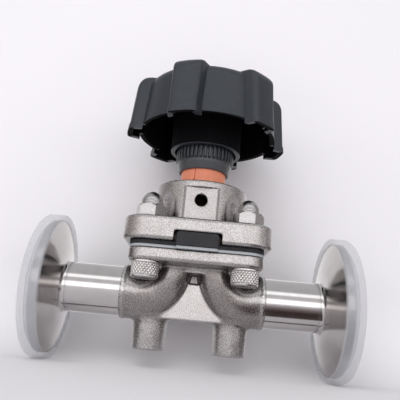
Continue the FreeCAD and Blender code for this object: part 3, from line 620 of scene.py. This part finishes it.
def nut_steel():
    material, tree, shader, place = blank("nut_steel")
    grain = noise(tree, place, 2.6, 4.0, 0.65)
    tint = ramp(tree, grain, [(0.38, (0.36, 0.35, 0.35)), (0.62, (0.54, 0.52, 0.52))])
    # Painted shade in the corners of each nut
    tree.links.new(painted_corner_shade(tree, tint, 2.0, (0.10, 0.09, 0.09)), shader.inputs["Base Color"])
    shader.inputs["Metallic"].default_value = 1.0
    tree.links.new(spread(tree, grain, 0.22, 0.32), shader.inputs["Roughness"])
    tree.links.new(bump(tree, noise(tree, place, 0.7, 2.0, 0.5), 0.2, 0.05), shader.inputs["Normal"])
    return material


def plastic(name, base, rough, grain_scale, grain, variation, shine=0.5):
    material, tree, shader, place = blank(name)
    shader.inputs["Specular IOR Level"].default_value = shine
    cloud = noise(tree, place, 0.35, 3.0, 0.55)
    low, high = (tuple(c * share for c in base) for share in (1 - variation, 1 + variation))
    tree.links.new(ramp(tree, cloud, [(0.3, low), (0.7, high)]), shader.inputs["Base Color"])
    fine = noise(tree, place, grain_scale, 2.0, 0.5)
    tree.links.new(spread(tree, fine, *rough), shader.inputs["Roughness"])
    tree.links.new(bump(tree, fine, 0.6, grain), shader.inputs["Normal"])
    return material


def clear_cap():
    """Milky see-through moulding, through which most of each ray goes straight on."""
    material, tree, shader, place = blank("clear_plastic")
    cloud = noise(tree, place, 0.12, 2.0, 0.5)
    milky = ramp(tree, cloud, [(0.3, (0.59, 0.605, 0.64)), (0.7, (0.65, 0.665, 0.70))])
    tree.links.new(milky, shader.inputs["Base Color"])
    rough = spread(tree, noise(tree, place, 1.5, 3.0, 0.5), 0.30, 0.38)
    tree.links.new(rough, shader.inputs["Roughness"])
    for name, value in (("IOR", 1.45), ("Alpha", 0.30), ("Specular IOR Level", 0.35)):
        shader.inputs[name].default_value = value
    tree.links.new(bump(tree, noise(tree, place, 0.6, 2.0, 0.5), 0.2, 0.01), shader.inputs["Normal"])
    return material


cast = cast_steel()
# The clamp ends' polished steel, with painted shade on its cones and rims
polished = polished_steel(
    "polished_steel", (0.10, 0.17), (0.64, 0.62, 0.615), (6.0, 0.4, 0.4), cone_shade=(0.76, 0.75, 0.74, 1)
)
machined = polished_steel("machined_steel", (0.24, 0.34), (0.60, 0.59, 0.58), (1.0, 1.0, 8.0))
screw_steel = knurled_steel()
nut_finish = nut_steel()
# Painted shade: the bronze is made near black, standing in for the shade deep in the telltale hole
bronze = polished_steel("bronze", (0.55, 0.70), (0.05, 0.03, 0.015), (1.0, 1.0, 6.0))
ptfe = plastic("fluoropolymer", (0.42, 0.445, 0.46), (0.40, 0.52), 2.0, 0.01, 0.04)
rubber = plastic("black_rubber", (0.018, 0.019, 0.022), (0.62, 0.75), 3.0, 0.03, 0.2)
orange = plastic("orange_plastic", (0.86, 0.29, 0.165), (0.40, 0.50), 3.0, 0.01, 0.05)
black = plastic("black_plastic", (0.017, 0.022, 0.030), (0.32, 0.42), 4.0, 0.015, 0.15, 0.55)
# Painted light: a lighter copy of the black plastic for the collar, whose teeth sit in shade
lit_slate = plastic("slate_plastic_painted_light", (0.030, 0.034, 0.041), (0.26, 0.34), 4.0, 0.01, 0.15, 0.7)
# Painted shade: a darker, duller copy of the black plastic for the faces inside the wheel
shaded_inner_black = plastic("black_plastic_painted_shade", (0.003, 0.003, 0.004), (0.66, 0.78), 4.0, 0.02, 0.15, 0.08)
clear = clear_cap()

by_slot = {
    "cast_steel": cast,
    "polished_steel": polished,
    "machined_steel": machined,
    "screw_steel": screw_steel,
    "clear_plastic": clear,
    "fluoropolymer": ptfe,
    "black_rubber": rubber,
    "bronze": bronze,
    "orange_plastic": orange,
    "black_plastic": black,
}
for sub in frame["record"]["subparts"]:
    solid = frame["nodes"][sub["node"]]
    solid.data.materials.clear()
    solid.data.materials.append(by_slot[sub["material_slot"]])


# Castings

NET_STEP = 0.42

for name, nodes, field, low, high in (
    ("valve_body_casting", ["valve_body"], casting_field, (-28.6, -25.2, -21.8), (28.6, 25.2, 15.4)),
    ("bonnet_casting", ["bonnet"], bonnet_field, (-27.8, -27.8, 16.5), (27.8, 27.8, 43.2)),
):
    points, faces, normals = surface_net(field, low, high, NET_STEP)
    piece(name, (points, faces), cast, "valve", nodes, normals=normals)


# Turned clamp ends and their caps

def ferrule_profile():
    groove = []
    for turn in np.radians(np.linspace(90, 270, 13)):
        groove.append((FACE_X + GROOVE_SECTION * math.cos(turn), GROOVE_R + GROOVE_SECTION * math.sin(turn)))
    back = [(BODY_END, BORE_R), (BODY_END, TUBE_R), (CONE_X, TUBE_R, 1.5), (RIM_X, RIM_R, 0.35)]
    face = [(FACE_X, RIM_R, 0.5)] + groove + [(FACE_X, BORE_R, 0.3)]
    return rounded(back + face, 6.0)


def cap_profile():
    """Disc with a skirt that grips the rim over its outside."""
    skirt_x, seat_x, floor_x, end_x = 52.3, 56.1, 58.0, 59.4
    inner_r, seat_r, outer_r = 23.4, 25.4, 27.4
    skirt = [(skirt_x, seat_r, 0.3), (skirt_x, outer_r, 0.6), (end_x, outer_r, 2.2)]
    disc = [(end_x, 0.0), (floor_x, 0.0), (floor_x, inner_r, 0.5), (seat_x, inner_r, 0.2), (seat_x, seat_r)]
    return rounded(skirt + disc, 6.0)


for side, end in ((-1, "inlet"), (1, "outlet")):
    shape = turned_x(ferrule_profile(), side, 256)
    piece(f"{end}_clamp_end", shape, polished, "valve", [f"{end}_ferrule"])
    shape = turned_x(cap_profile(), side, 256)
    piece(f"{end}_dust_cap", shape, clear, f"{end}_cap_body", [f"{end}_cap"])


# Screws, nuts and sleeve

def hexagon(angles, flats):
    return flats / 2 / np.cos((angles + math.pi / 6) % (math.pi / 3) - math.pi / 6)


def ring_stack(angles, rows):
    """Points from rows of (radius for each angle, height)."""
    rings = []
    for radius, height in rows:
        radius = radius + 0 * angles
        rings.append(np.stack([radius * np.cos(angles), radius * np.sin(angles), height + 0 * angles], -1))
    return np.concatenate(rings), ring_faces(len(rows), len(angles))


def screw():
    """Socket head cap screw with a diamond knurl round its head."""
    angles = np.arange(192) * 2 * math.pi / 192
    socket = hexagon(angles, 5.0)
    low, floor, tip = 3.9, 6.9, 31.7
    knurl_starts, knurl_rise = 24, 1.6

    def ridge(height, lean):
        phase = (knurl_starts * angles / (2 * math.pi) + lean * height / knurl_rise) % 1
        return 1 - 2 * np.abs(phase - 0.5)

    rows = [(0.0, floor), (socket, floor), (socket, low + 0.2), (socket + 0.2, low), (4.3, low), (4.5, 3.98)]
    rows += [(4.95, 4.5), (5.02, 4.75), (4.9, 4.95)]
    for height in np.arange(5.1, 9.35, 0.2):
        crest = np.minimum(1.0, 1.7 * np.minimum(ridge(height, 1), ridge(height, -1)))
        rows.append((4.7 + 0.35 * crest, height))
    rows += [(4.85, 9.45), (5.05, 9.6), (5.08, 10.0), (4.9, FLANGE_UNDER), (3.0, FLANGE_UNDER)]
    rows += [(3.0, tip - 0.5), (2.5, tip), (0.0, tip)]
    return ring_stack(angles, rows)


def acorn():
    """Hexagon nut with chamfered corners under a dome."""
    angles = np.arange(144) * 2 * math.pi / 144
    flats = hexagon(angles + math.radians(40), 10.0)
    dome_r, dome_z, dome_height, thread_r, thread_top = 4.05, 31.5, 4.5, 3.05, 32.2
    rows = [(thread_r, BONNET_TOP), (4.9, BONNET_TOP)]
    rows += [(np.minimum(flats, 5.25), 25.75), (np.minimum(flats, 5.78), 26.1)]
    chamfer = [(1.0, 29.6), (0.75, 29.925), (0.5, 30.15), (0.28, 30.348), (0.12, 30.492), (0.0, 30.6)]
    for drop, height in chamfer:
        rows.append((np.minimum(flats, 4.75 + 1.05 * math.sqrt(drop)), height))
    rows += [(4.2, 30.62), (4.08, 30.8), (dome_r, dome_z)]
    for turn in np.radians(np.arange(6, 90, 6)):
        rows.append((dome_r * math.cos(turn), dome_z + dome_height * math.sin(turn)))
    rows += [(0.0, dome_z + dome_height), (0.0, thread_top), (thread_r, thread_top)]
    return ring_stack(angles, rows)


def at_bolts(shape):
    points, faces = shape
    return joined([(points + np.array([x, y, 0.0]), faces) for x in (-BOLT, BOLT) for y in (-BOLT, BOLT)])


piece("socket_screws", at_bolts(screw()), screw_steel, "valve", ["cap_screws"])
piece("domed_nuts", at_bolts(acorn()), nut_finish, "valve", ["acorn_nuts"])


def sleeve():
    """Split sleeve: a narrow slit runs up its front left side."""
    slit, half = math.radians(-112), math.radians(1.2)
    around = np.linspace(slit + half, slit - half + 2 * math.pi, 140)[1:-1]
    angles = np.concatenate([[slit - half] * 2, [slit + half] * 2, around])
    depth = np.zeros(len(angles))
    depth[1:3] = 0.5
    inner_r, outer_r, low, high = 7.3, 9.2, 40.0, 54.0
    profile = [(inner_r, low), (outer_r, low, 0.2), (outer_r, high, 0.5), (inner_r, high)]
    rows = [(r - (depth if r > 8 else 0), z) for r, z in rounded(profile, 20)]
    return ring_stack(angles, rows)


piece("position_sleeve", sleeve(), orange, "valve", ["indicator_sleeve"])


def collar():
    """Flared band below, forty straight teeth above."""
    count = 40
    pitch = 2 * math.pi / count
    tip, root = 0.21 * pitch, 0.335 * pitch
    flank = [(11.1, root), (11.55, (root + tip) / 2), (11.93, tip * 1.04), (12.0, tip * 0.75)]
    outline = [(radius, -turn) for radius, turn in flank] + flank[::-1]
    angles = np.array([k * pitch + turn for k in range(count) for _, turn in outline])
    teeth = np.array([radius for radius, _ in outline] * count)
    rows = [(9.5, 63.9), (9.5, 50.2), (9.7, 49.9), (10.0, 49.9), (10.2, 49.96), (10.33, 50.15), (10.4, 50.5)]
    rows += [(10.4 + 0.8 * share, 50.5 + 3.3 * share) for share in (0.33, 0.66, 1.0)]
    rows += [(11.2, 53.9), (np.minimum(teeth, 11.15), 53.95)]
    rows += [(np.minimum(teeth, 11.2 + rise), 53.95 + rise) for rise in (0.2, 0.4, 0.6, 0.8)]
    rows += [(teeth, 54.9), (teeth, 63.7), (teeth - 0.2, 63.9)]
    return ring_stack(angles, rows)


piece("toothed_collar", collar(), lit_slate, "wheel_group", ["stroke_collar"], crisp=28)


# Hand wheel: closed stack of rings that follow the bell and its six lobes

BELL_R, LOBE_R, WALL, LEAN = 28.6, 33.1, 1.8, 0.075
LOBE_HEM, BELL_HEM, SHOULDER_Z, TOP_Z = 63.9, 65.9, 82.4, 87.4
TOP_EDGE, LOBE_EDGE, INNER_EDGE = 5.0, 2.0, 2.5
LOBES, LOBE_TURN = 6, -108.5
ROOT = BELL_R * np.array([math.cos(math.radians(12.8)), math.sin(math.radians(12.8))])
TIP = LOBE_R * np.array([math.cos(math.radians(9.1)), math.sin(math.radians(9.1))])
ARC_STEPS, CORNER_STEPS, TIP_STEPS = 9, 8, 5


def half_lobe(bell_r, tip_r, inset, corner, cut_r=None):
    """Plan points of one surface of the wheel, from midway between two lobes to the middle of a tip."""
    along = (TIP - ROOT) / np.linalg.norm(TIP - ROOT)
    out = np.array([-along[1], along[0]])
    level = (ROOT - np.array([0, inset])) @ out

    def on_side(radius):
        return out * level + along * math.sqrt(radius ** 2 - level ** 2)

    start = on_side(bell_r)
    meet = math.atan2(start[1], start[0])
    line = []
    for k in range(ARC_STEPS):
        turn = math.pi / LOBES + (meet - math.pi / LOBES) * k / (ARC_STEPS - 1)
        line.append((bell_r * math.cos(turn), bell_r * math.sin(turn)))
    start = start if cut_r is None else on_side(cut_r)
    line += [tuple(start), tuple(start)]
    centre = out * (level - corner) + along * math.sqrt((tip_r - corner) ** 2 - (level - corner) ** 2)
    tangent = centre + out * corner
    for share in (0.33, 0.66):
        line.append(tuple(start + share * (tangent - start)))
    first, last = math.atan2(out[1], out[0]), math.atan2(centre[1], centre[0])
    for k in range(CORNER_STEPS + 1):
        turn = first + (last - first) * k / CORNER_STEPS
        line.append(tuple(centre + corner * np.array([math.cos(turn), math.sin(turn)])))
    end = math.atan2(line[-1][1], line[-1][0])
    for k in range(1, TIP_STEPS + 1):
        turn = end * (1 - k / TIP_STEPS)
        line.append((tip_r * math.cos(turn), tip_r * math.sin(turn)))
    return np.array(line)


def whole_plan(half):
    """All lobes from one half lobe, turned to their places."""
    mirrored = half[::-1] * np.array([1, -1])
    lobe = np.concatenate([half, mirrored[1:]])[:-1]
    plan = []
    for k in range(LOBES):
        turn = math.radians(LOBE_TURN - 360 // LOBES * k)
        c, s = math.cos(turn), math.sin(turn)
        plan.append(np.stack([lobe[:, 0] * c - lobe[:, 1] * s, lobe[:, 0] * s + lobe[:, 1] * c], -1))
    return np.concatenate(plan)


def wheel():
    """Closed stack of rings: up the outside, over the top, down the hub and its well, and up inside."""
    half_count = len(half_lobe(BELL_R, LOBE_R, 0.0, LOBE_EDGE))
    on_bell = np.arange(half_count) <= ARC_STEPS
    marks = np.tile(np.concatenate([on_bell, on_bell[::-1][1:]])[:-1], LOBES)
    rings = []

    def add(plan, low, high=None):
        """Ring whose height differs on the lobes and on the bell between them."""
        height = np.where(marks, low if high is None else high, low)
        rings.append(np.column_stack([plan, height]))

    def radii(z):
        return BELL_R - LEAN * (z - BELL_HEM), LOBE_R - LEAN * (z - LOBE_HEM)

    def outside(z, lobe_grow=0.0, bell_grow=0.0):
        bell_r, tip_r = radii(z)
        return whole_plan(half_lobe(bell_r + bell_grow, tip_r + lobe_grow, -lobe_grow, LOBE_EDGE + lobe_grow))

    def rounded_top(turn):
        height = SHOULDER_Z + TOP_EDGE * math.sin(turn)
        back = TOP_EDGE * (1 - math.cos(turn))
        above = max(0.0, height - (TOP_Z - LOBE_EDGE))
        side = LOBE_EDGE - math.sqrt(max(0.0, LOBE_EDGE ** 2 - above ** 2))
        bell_r, tip_r = radii(SHOULDER_Z)
        add(whole_plan(half_lobe(bell_r - back, tip_r - back, side, LOBE_EDGE)), height)

    def inside(z):
        bell_r, tip_r = radii(z)
        return whole_plan(half_lobe(bell_r - WALL, tip_r - WALL, WALL, 0.45, BELL_R))

    # Bead along the hem, then the straight side
    add(outside(63.9, 0.15, -0.2), 63.9, 65.9)
    add(outside(63.9, 0.29, -0.06), 63.96, 65.96)
    add(outside(64.1, 0.35), 64.1, 66.1)
    add(outside(66.1, 0.35), 66.1, 66.25)
    add(outside(66.2, 0.28), 66.24, 66.3)
    add(outside(66.3), 66.3, 66.4)
    for z in (66.6, 70.0, 74.0, 78.0, SHOULDER_Z):
        add(outside(z), z)
    for turn in range(9, 91, 9):
        rounded_top(math.radians(turn))
    columns = np.arctan2(*inside(LOBE_HEM).T[::-1])

    def circle(radius, height):
        rings.append(np.stack([radius * np.cos(columns), radius * np.sin(columns), height + 0 * columns], -1))

    well = [(18.0, TOP_Z), (13.3, TOP_Z), (13.05, 87.2), (13.05, 86.2), (11.6, 86.2), (11.6, 75.9)]
    hub = [(4.95, 75.9), (4.95, 65.9), (10.5, 65.9), (10.5, 63.9), (12.05, 63.9), (12.05, 60.9), (12.4, 60.9)]
    hub_end = [(12.4, 59.2), (12.6, 58.95), (12.9, 58.9), (14.1, 58.9), (14.35, 58.97), (14.5, 59.2)]
    ceiling = [(14.5, 62.0), (14.5, 84.8), (14.75, 85.4), (15.3, 85.6), (22.9, 85.6)]
    for radius, height in well + hub + hub_end + ceiling:
        circle(radius, height)
    inner_z = 83.1
    inner_r = BELL_R - WALL - LEAN * (inner_z - BELL_HEM)
    for turn in np.radians(range(75, -1, -15)):
        circle(inner_r - INNER_EDGE * (1 - math.cos(turn)), inner_z + INNER_EDGE * math.sin(turn))
    for z in (83.0, 78.0, 72.0, 66.5):
        add(inside(z), z)
    add(inside(64.1), 64.05, 66.05)
    return np.concatenate(rings), ring_faces(len(rings), len(columns))


def is_inner(face):
    """Whether a face of the wheel is on the inside of its bell, on its hub tube or under its ceiling."""
    spot, way = face.center / MM, face.normal
    from_stem = math.hypot(spot.x, spot.y)
    faces_in = spot.x * way.x + spot.y * way.y < -0.05 * from_stem
    on_hub = from_stem < 14.55 and spot.z > 60.0
    return spot.z < 86.0 and (faces_in or on_hub or way.z < -0.4 and spot.z > 75.0)


bell = piece("wheel_bell", wheel(), black, "wheel_group", ["handwheel"], crisp=30)
# Painted shade: faces inside the bell, on the hub tube and under its ceiling take the darker copy
bell.data.materials.append(shaded_inner_black)
for face in bell.data.polygons:
    if is_inner(face):
        face.material_index = 1
disc = [(13.0, 86.2), (13.0, TOP_Z, 0.4), (0.0, TOP_Z)]
cover = rounded([(0.0, 86.2), (10.3, 86.2), (10.3, 82.9), (11.5, 82.9), (11.5, 86.2)] + disc, 15)
piece("hub_cover", turned_z(cover), black, "wheel_group", ["wheel_cover"])


# Diaphragm: clamped borders with their tabs, the facing's boss on the lift carriage, and the domed crown

DOME_R, DOME_TOP, DOME_CURVE = 15.0, 18.2, 33.05


def border(reach, low, high, edge):
    """Clamped layer of the diaphragm with its tab in front."""
    half, corner = 24.4, 6.4
    corners = [(half, half, corner), (-half, half, corner), (-half, -half, corner)]
    corners += [(-TAB_HALF, -half, 0.3), (-TAB_HALF, -reach, 0.8)]
    corners += [(TAB_HALF, -reach, 0.8), (TAB_HALF, -half, 0.3), (half, -half, corner)]
    holes = [(0.0, 0.0, DOME_R)] + [(x, y, BOLT_HOLE_R) for x in (-BOLT, BOLT) for y in (-BOLT, BOLT)]
    return plate(rounded(corners), holes, low, high, edge)


def upright_tab():
    """Rubber tab that stands in the notch of the bonnet's flange."""
    top = 20.6
    corners = [(-TAB_HALF, BACKING_Z), (TAB_HALF, BACKING_Z), (TAB_HALF, top, 1.2), (-TAB_HALF, top, 1.2)]
    points, faces = plate(rounded(corners, 15), [], 24.6, 26.9, 0.2)
    return np.column_stack([points[:, 0], -points[:, 2], points[:, 1]]), faces


def crown(lift, inner):
    """One face of the domed middle, from the clamped edge up to the axis or to the boss."""
    radius = np.linspace(DOME_R, inner, 40)
    height = DOME_TOP + lift - DOME_CURVE + np.sqrt(DOME_CURVE ** 2 - radius ** 2)
    return turned_z(np.column_stack([radius, height]), 96, closed=False)


shape = border(26.2, SEAT_Z, BACKING_Z, 0.12)
piece("facing_border", shape, ptfe, "valve", ["diaphragm_facing"])
shape = joined([border(26.6, BACKING_Z, BONNET_Z, 0.2), upright_tab()])
piece("rubber_border", shape, rubber, "valve", ["diaphragm_backing"])
boss = rounded([(2.55, 18.9), (5.0, 18.9), (5.0, 20.4, 0.3), (2.55, 20.4)], 20)
piece("facing_boss", turned_z(boss, 96), ptfe, "lift_carriage")
for name, lift, inner, material, slot in (
    ("product_face", 0.0, 0.0, ptfe, "fluoropolymer"),
    ("rubber_crown", 2.6, 5.05, rubber, "black_rubber"),
):
    thing = piece(name, crown(lift, inner), material, None)
    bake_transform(thing)


# Camera, stage and light

camera_data = bpy.data.cameras.new("camera")
camera = bpy.data.objects.new("camera", camera_data)
bpy.context.scene.collection.objects.link(camera)
camera.location = (0.0001, -0.1929, -0.01185)
camera.rotation_euler = (math.radians(104.9276), math.radians(-4.9677), math.radians(-1.1413))
camera_data.lens = 43.64
camera_data.sensor_width = 36
camera_data.clip_start = 0.01
bpy.context.scene.camera = camera


def stage_material(name, faded=False):
    """Pale matt surface; the backdrop is clear from behind and fades out away from the valve."""
    material, tree = empty(name)
    last = node(tree, "BsdfDiffuse", {0: (0.835, 0.82, 0.845, 1)}).outputs[0]
    if faded:
        place = node(tree, "TexCoord").outputs["Object"]
        length = node(tree, "VectorMath", {0: place}, operation="LENGTH").outputs["Value"]
        far = ranged(tree, length, 0.13, 0.28, interpolation_type="SMOOTHSTEP")
        for amount in (far, node(tree, "NewGeometry").outputs["Backfacing"]):
            clearer = node(tree, "BsdfTransparent").outputs[0]
            last = node(tree, "MixShader", {0: amount, 1: last, 2: clearer}).outputs[0]
    node(tree, "OutputMaterial", {0: last})
    return material


def sheet(name, profile, half_width, material):
    """Surface that runs straight along X over a profile of (y, z)."""
    points = [(side * half_width, y, z) for y, z in profile for side in (-1, 1)]
    quads = [(2 * k, 2 * k + 1, 2 * k + 3, 2 * k + 2) for k in range(len(profile) - 1)]
    mesh = bpy.data.meshes.new(name)
    mesh.from_pydata(points, [], quads)
    mesh.shade_smooth()
    mesh.materials.append(material)
    thing = bpy.data.objects.new(name, mesh)
    bpy.context.scene.collection.objects.link(thing)
    return thing


def hide(thing, *rays):
    """Leave a thing out of the named kinds of rays."""
    for ray in rays:
        setattr(thing, "visible_" + ray, False)


FLOOR_Z, ABOVE_FLOOR = -0.02745, 0.00004
CURVE_R, CURVE_Y = 0.0357, -0.002
sheet("floor", [(-3, FLOOR_Z), (3, FLOOR_Z)], 3, stage_material("floor"))
sweep = [(-0.12, FLOOR_Z + ABOVE_FLOOR)]
for turn in np.radians(np.linspace(-90, 0, 41)):
    sweep.append((CURVE_R * math.cos(turn) + CURVE_Y, FLOOR_Z + ABOVE_FLOOR + CURVE_R * (1 + math.sin(turn))))
sweep.append((CURVE_R + CURVE_Y, 0.30))
backdrop = sheet("backdrop", sweep, 0.30, stage_material("backdrop", faded=True))
hide(backdrop, "diffuse", "glossy", "shadow", "transmission")


def flag(name, near, far, left, right, stops):
    """Dark card on the floor that only mirrors show: a painted reflection, for the dark bands low on the
    polished tubes.
    """
    material, tree, shader, place = blank(name)
    reach = ranged(tree, axes(tree, place)[1], near / MM, far / MM)
    tree.links.new(ramp(tree, reach, stops), shader.inputs["Base Color"])
    shader.inputs["Roughness"].default_value = 0.9
    shader.inputs["Specular IOR Level"].default_value = 0.0
    height = FLOOR_Z + 0.0002
    card = sheet(name, [(far, height), (near, height)], (right - left) / 2, material)
    card.location.x = (left + right) / 2
    hide(card, "camera", "diffuse", "shadow", "transmission")


# Painted reflections: the card gives a dark band low on the right tube, and the two lines put a contact
# shadow into the lower edge of each tube
reflected_band_stops = [(0.0, (0.10, 0.07, 0.07)), (0.10, (0.06, 0.04, 0.04))]
reflected_band_stops += [(0.22, (0.20, 0.16, 0.16)), (0.55, (0.50, 0.46, 0.46))]
reflected_shadow_stops = [(0.0, (0.12, 0.10, 0.10)), (1.0, (0.15, 0.12, 0.12))]
flag("reflection_card", -0.020, -0.240, 0.030, 0.110, reflected_band_stops)
flag("reflected_shadow_left", -0.0050, -0.0080, -0.0525, -0.0275, reflected_shadow_stops)
flag("reflected_shadow_right", -0.0050, -0.0080, 0.0275, 0.0525, reflected_shadow_stops)


# Surroundings: one soft colour to the camera, and studio panels to all else. PANELS holds their colours
# by the angle in degrees: 0 is straight in front of the valve, 90 is overhead, and 180 is behind it.

PANELS = [
    (-180, (0.50, 0.49, 0.50)),
    (-84, (0.40, 0.36, 0.36)),
    (-6, (0.42, 0.38, 0.38)),
    (-1, (1.0, 0.99, 1.0)),
    (19, (1.0, 0.99, 1.0)),
    (23, (0.36, 0.355, 0.36)),
    (40, (0.36, 0.355, 0.36)),
    (43, (0.84, 0.84, 0.85)),
    (54, (0.84, 0.84, 0.85)),
    (60, (0.29, 0.29, 0.295)),
    (135, (0.32, 0.32, 0.325)),
    (150, (0.50, 0.49, 0.50)),
    (180, (0.50, 0.49, 0.50)),
]
world = bpy.data.worlds.new("studio")
bpy.context.scene.world = world
world.use_nodes = True
tree = world.node_tree
tree.nodes.clear()
_, way_y, way_z, sideways, _ = axes(tree, node(tree, "TexCoord").outputs["Generated"])
climb = reckon(tree, "ARCTAN2", way_z, reckon(tree, "MULTIPLY", way_y, -1))
climb = ranged(tree, climb, -math.pi, math.pi)
shades = ramp(tree, climb, [((angle + 180) / 360, colour) for angle, colour in PANELS])
walls = ramp(tree, sideways, [(0.55, (1, 1, 1)), (0.92, (0.62, 0.59, 0.58))])
around = node(tree, "Background", {0: mix_colour(tree, "MULTIPLY", 1.0, shades, walls), 1: 1.95})
seen = node(tree, "Background", {0: (0.89, 0.87, 0.905, 1)})
to_camera = node(tree, "LightPath").outputs["Is Camera Ray"]
choice = node(tree, "MixShader", {0: to_camera, 1: around.outputs[0], 2: seen.outputs[0]})
node(tree, "OutputWorld", {0: choice.outputs[0]})

key_light = bpy.data.lights.new("key", "AREA")
key_light.shape = "RECTANGLE"
key_light.size, key_light.size_y = 0.55, 0.55
key_light.energy = 1.5
key = bpy.data.objects.new("key", key_light)
bpy.context.scene.collection.objects.link(key)
key.location = (-0.22, -0.50, 0.62)
key.rotation_euler = (Vector((0, 0, 0.02)) - key.location).to_track_quat("-Z", "Y").to_euler()
key.visible_glossy = False

bpy.context.scene.view_settings.view_transform = "Standard"
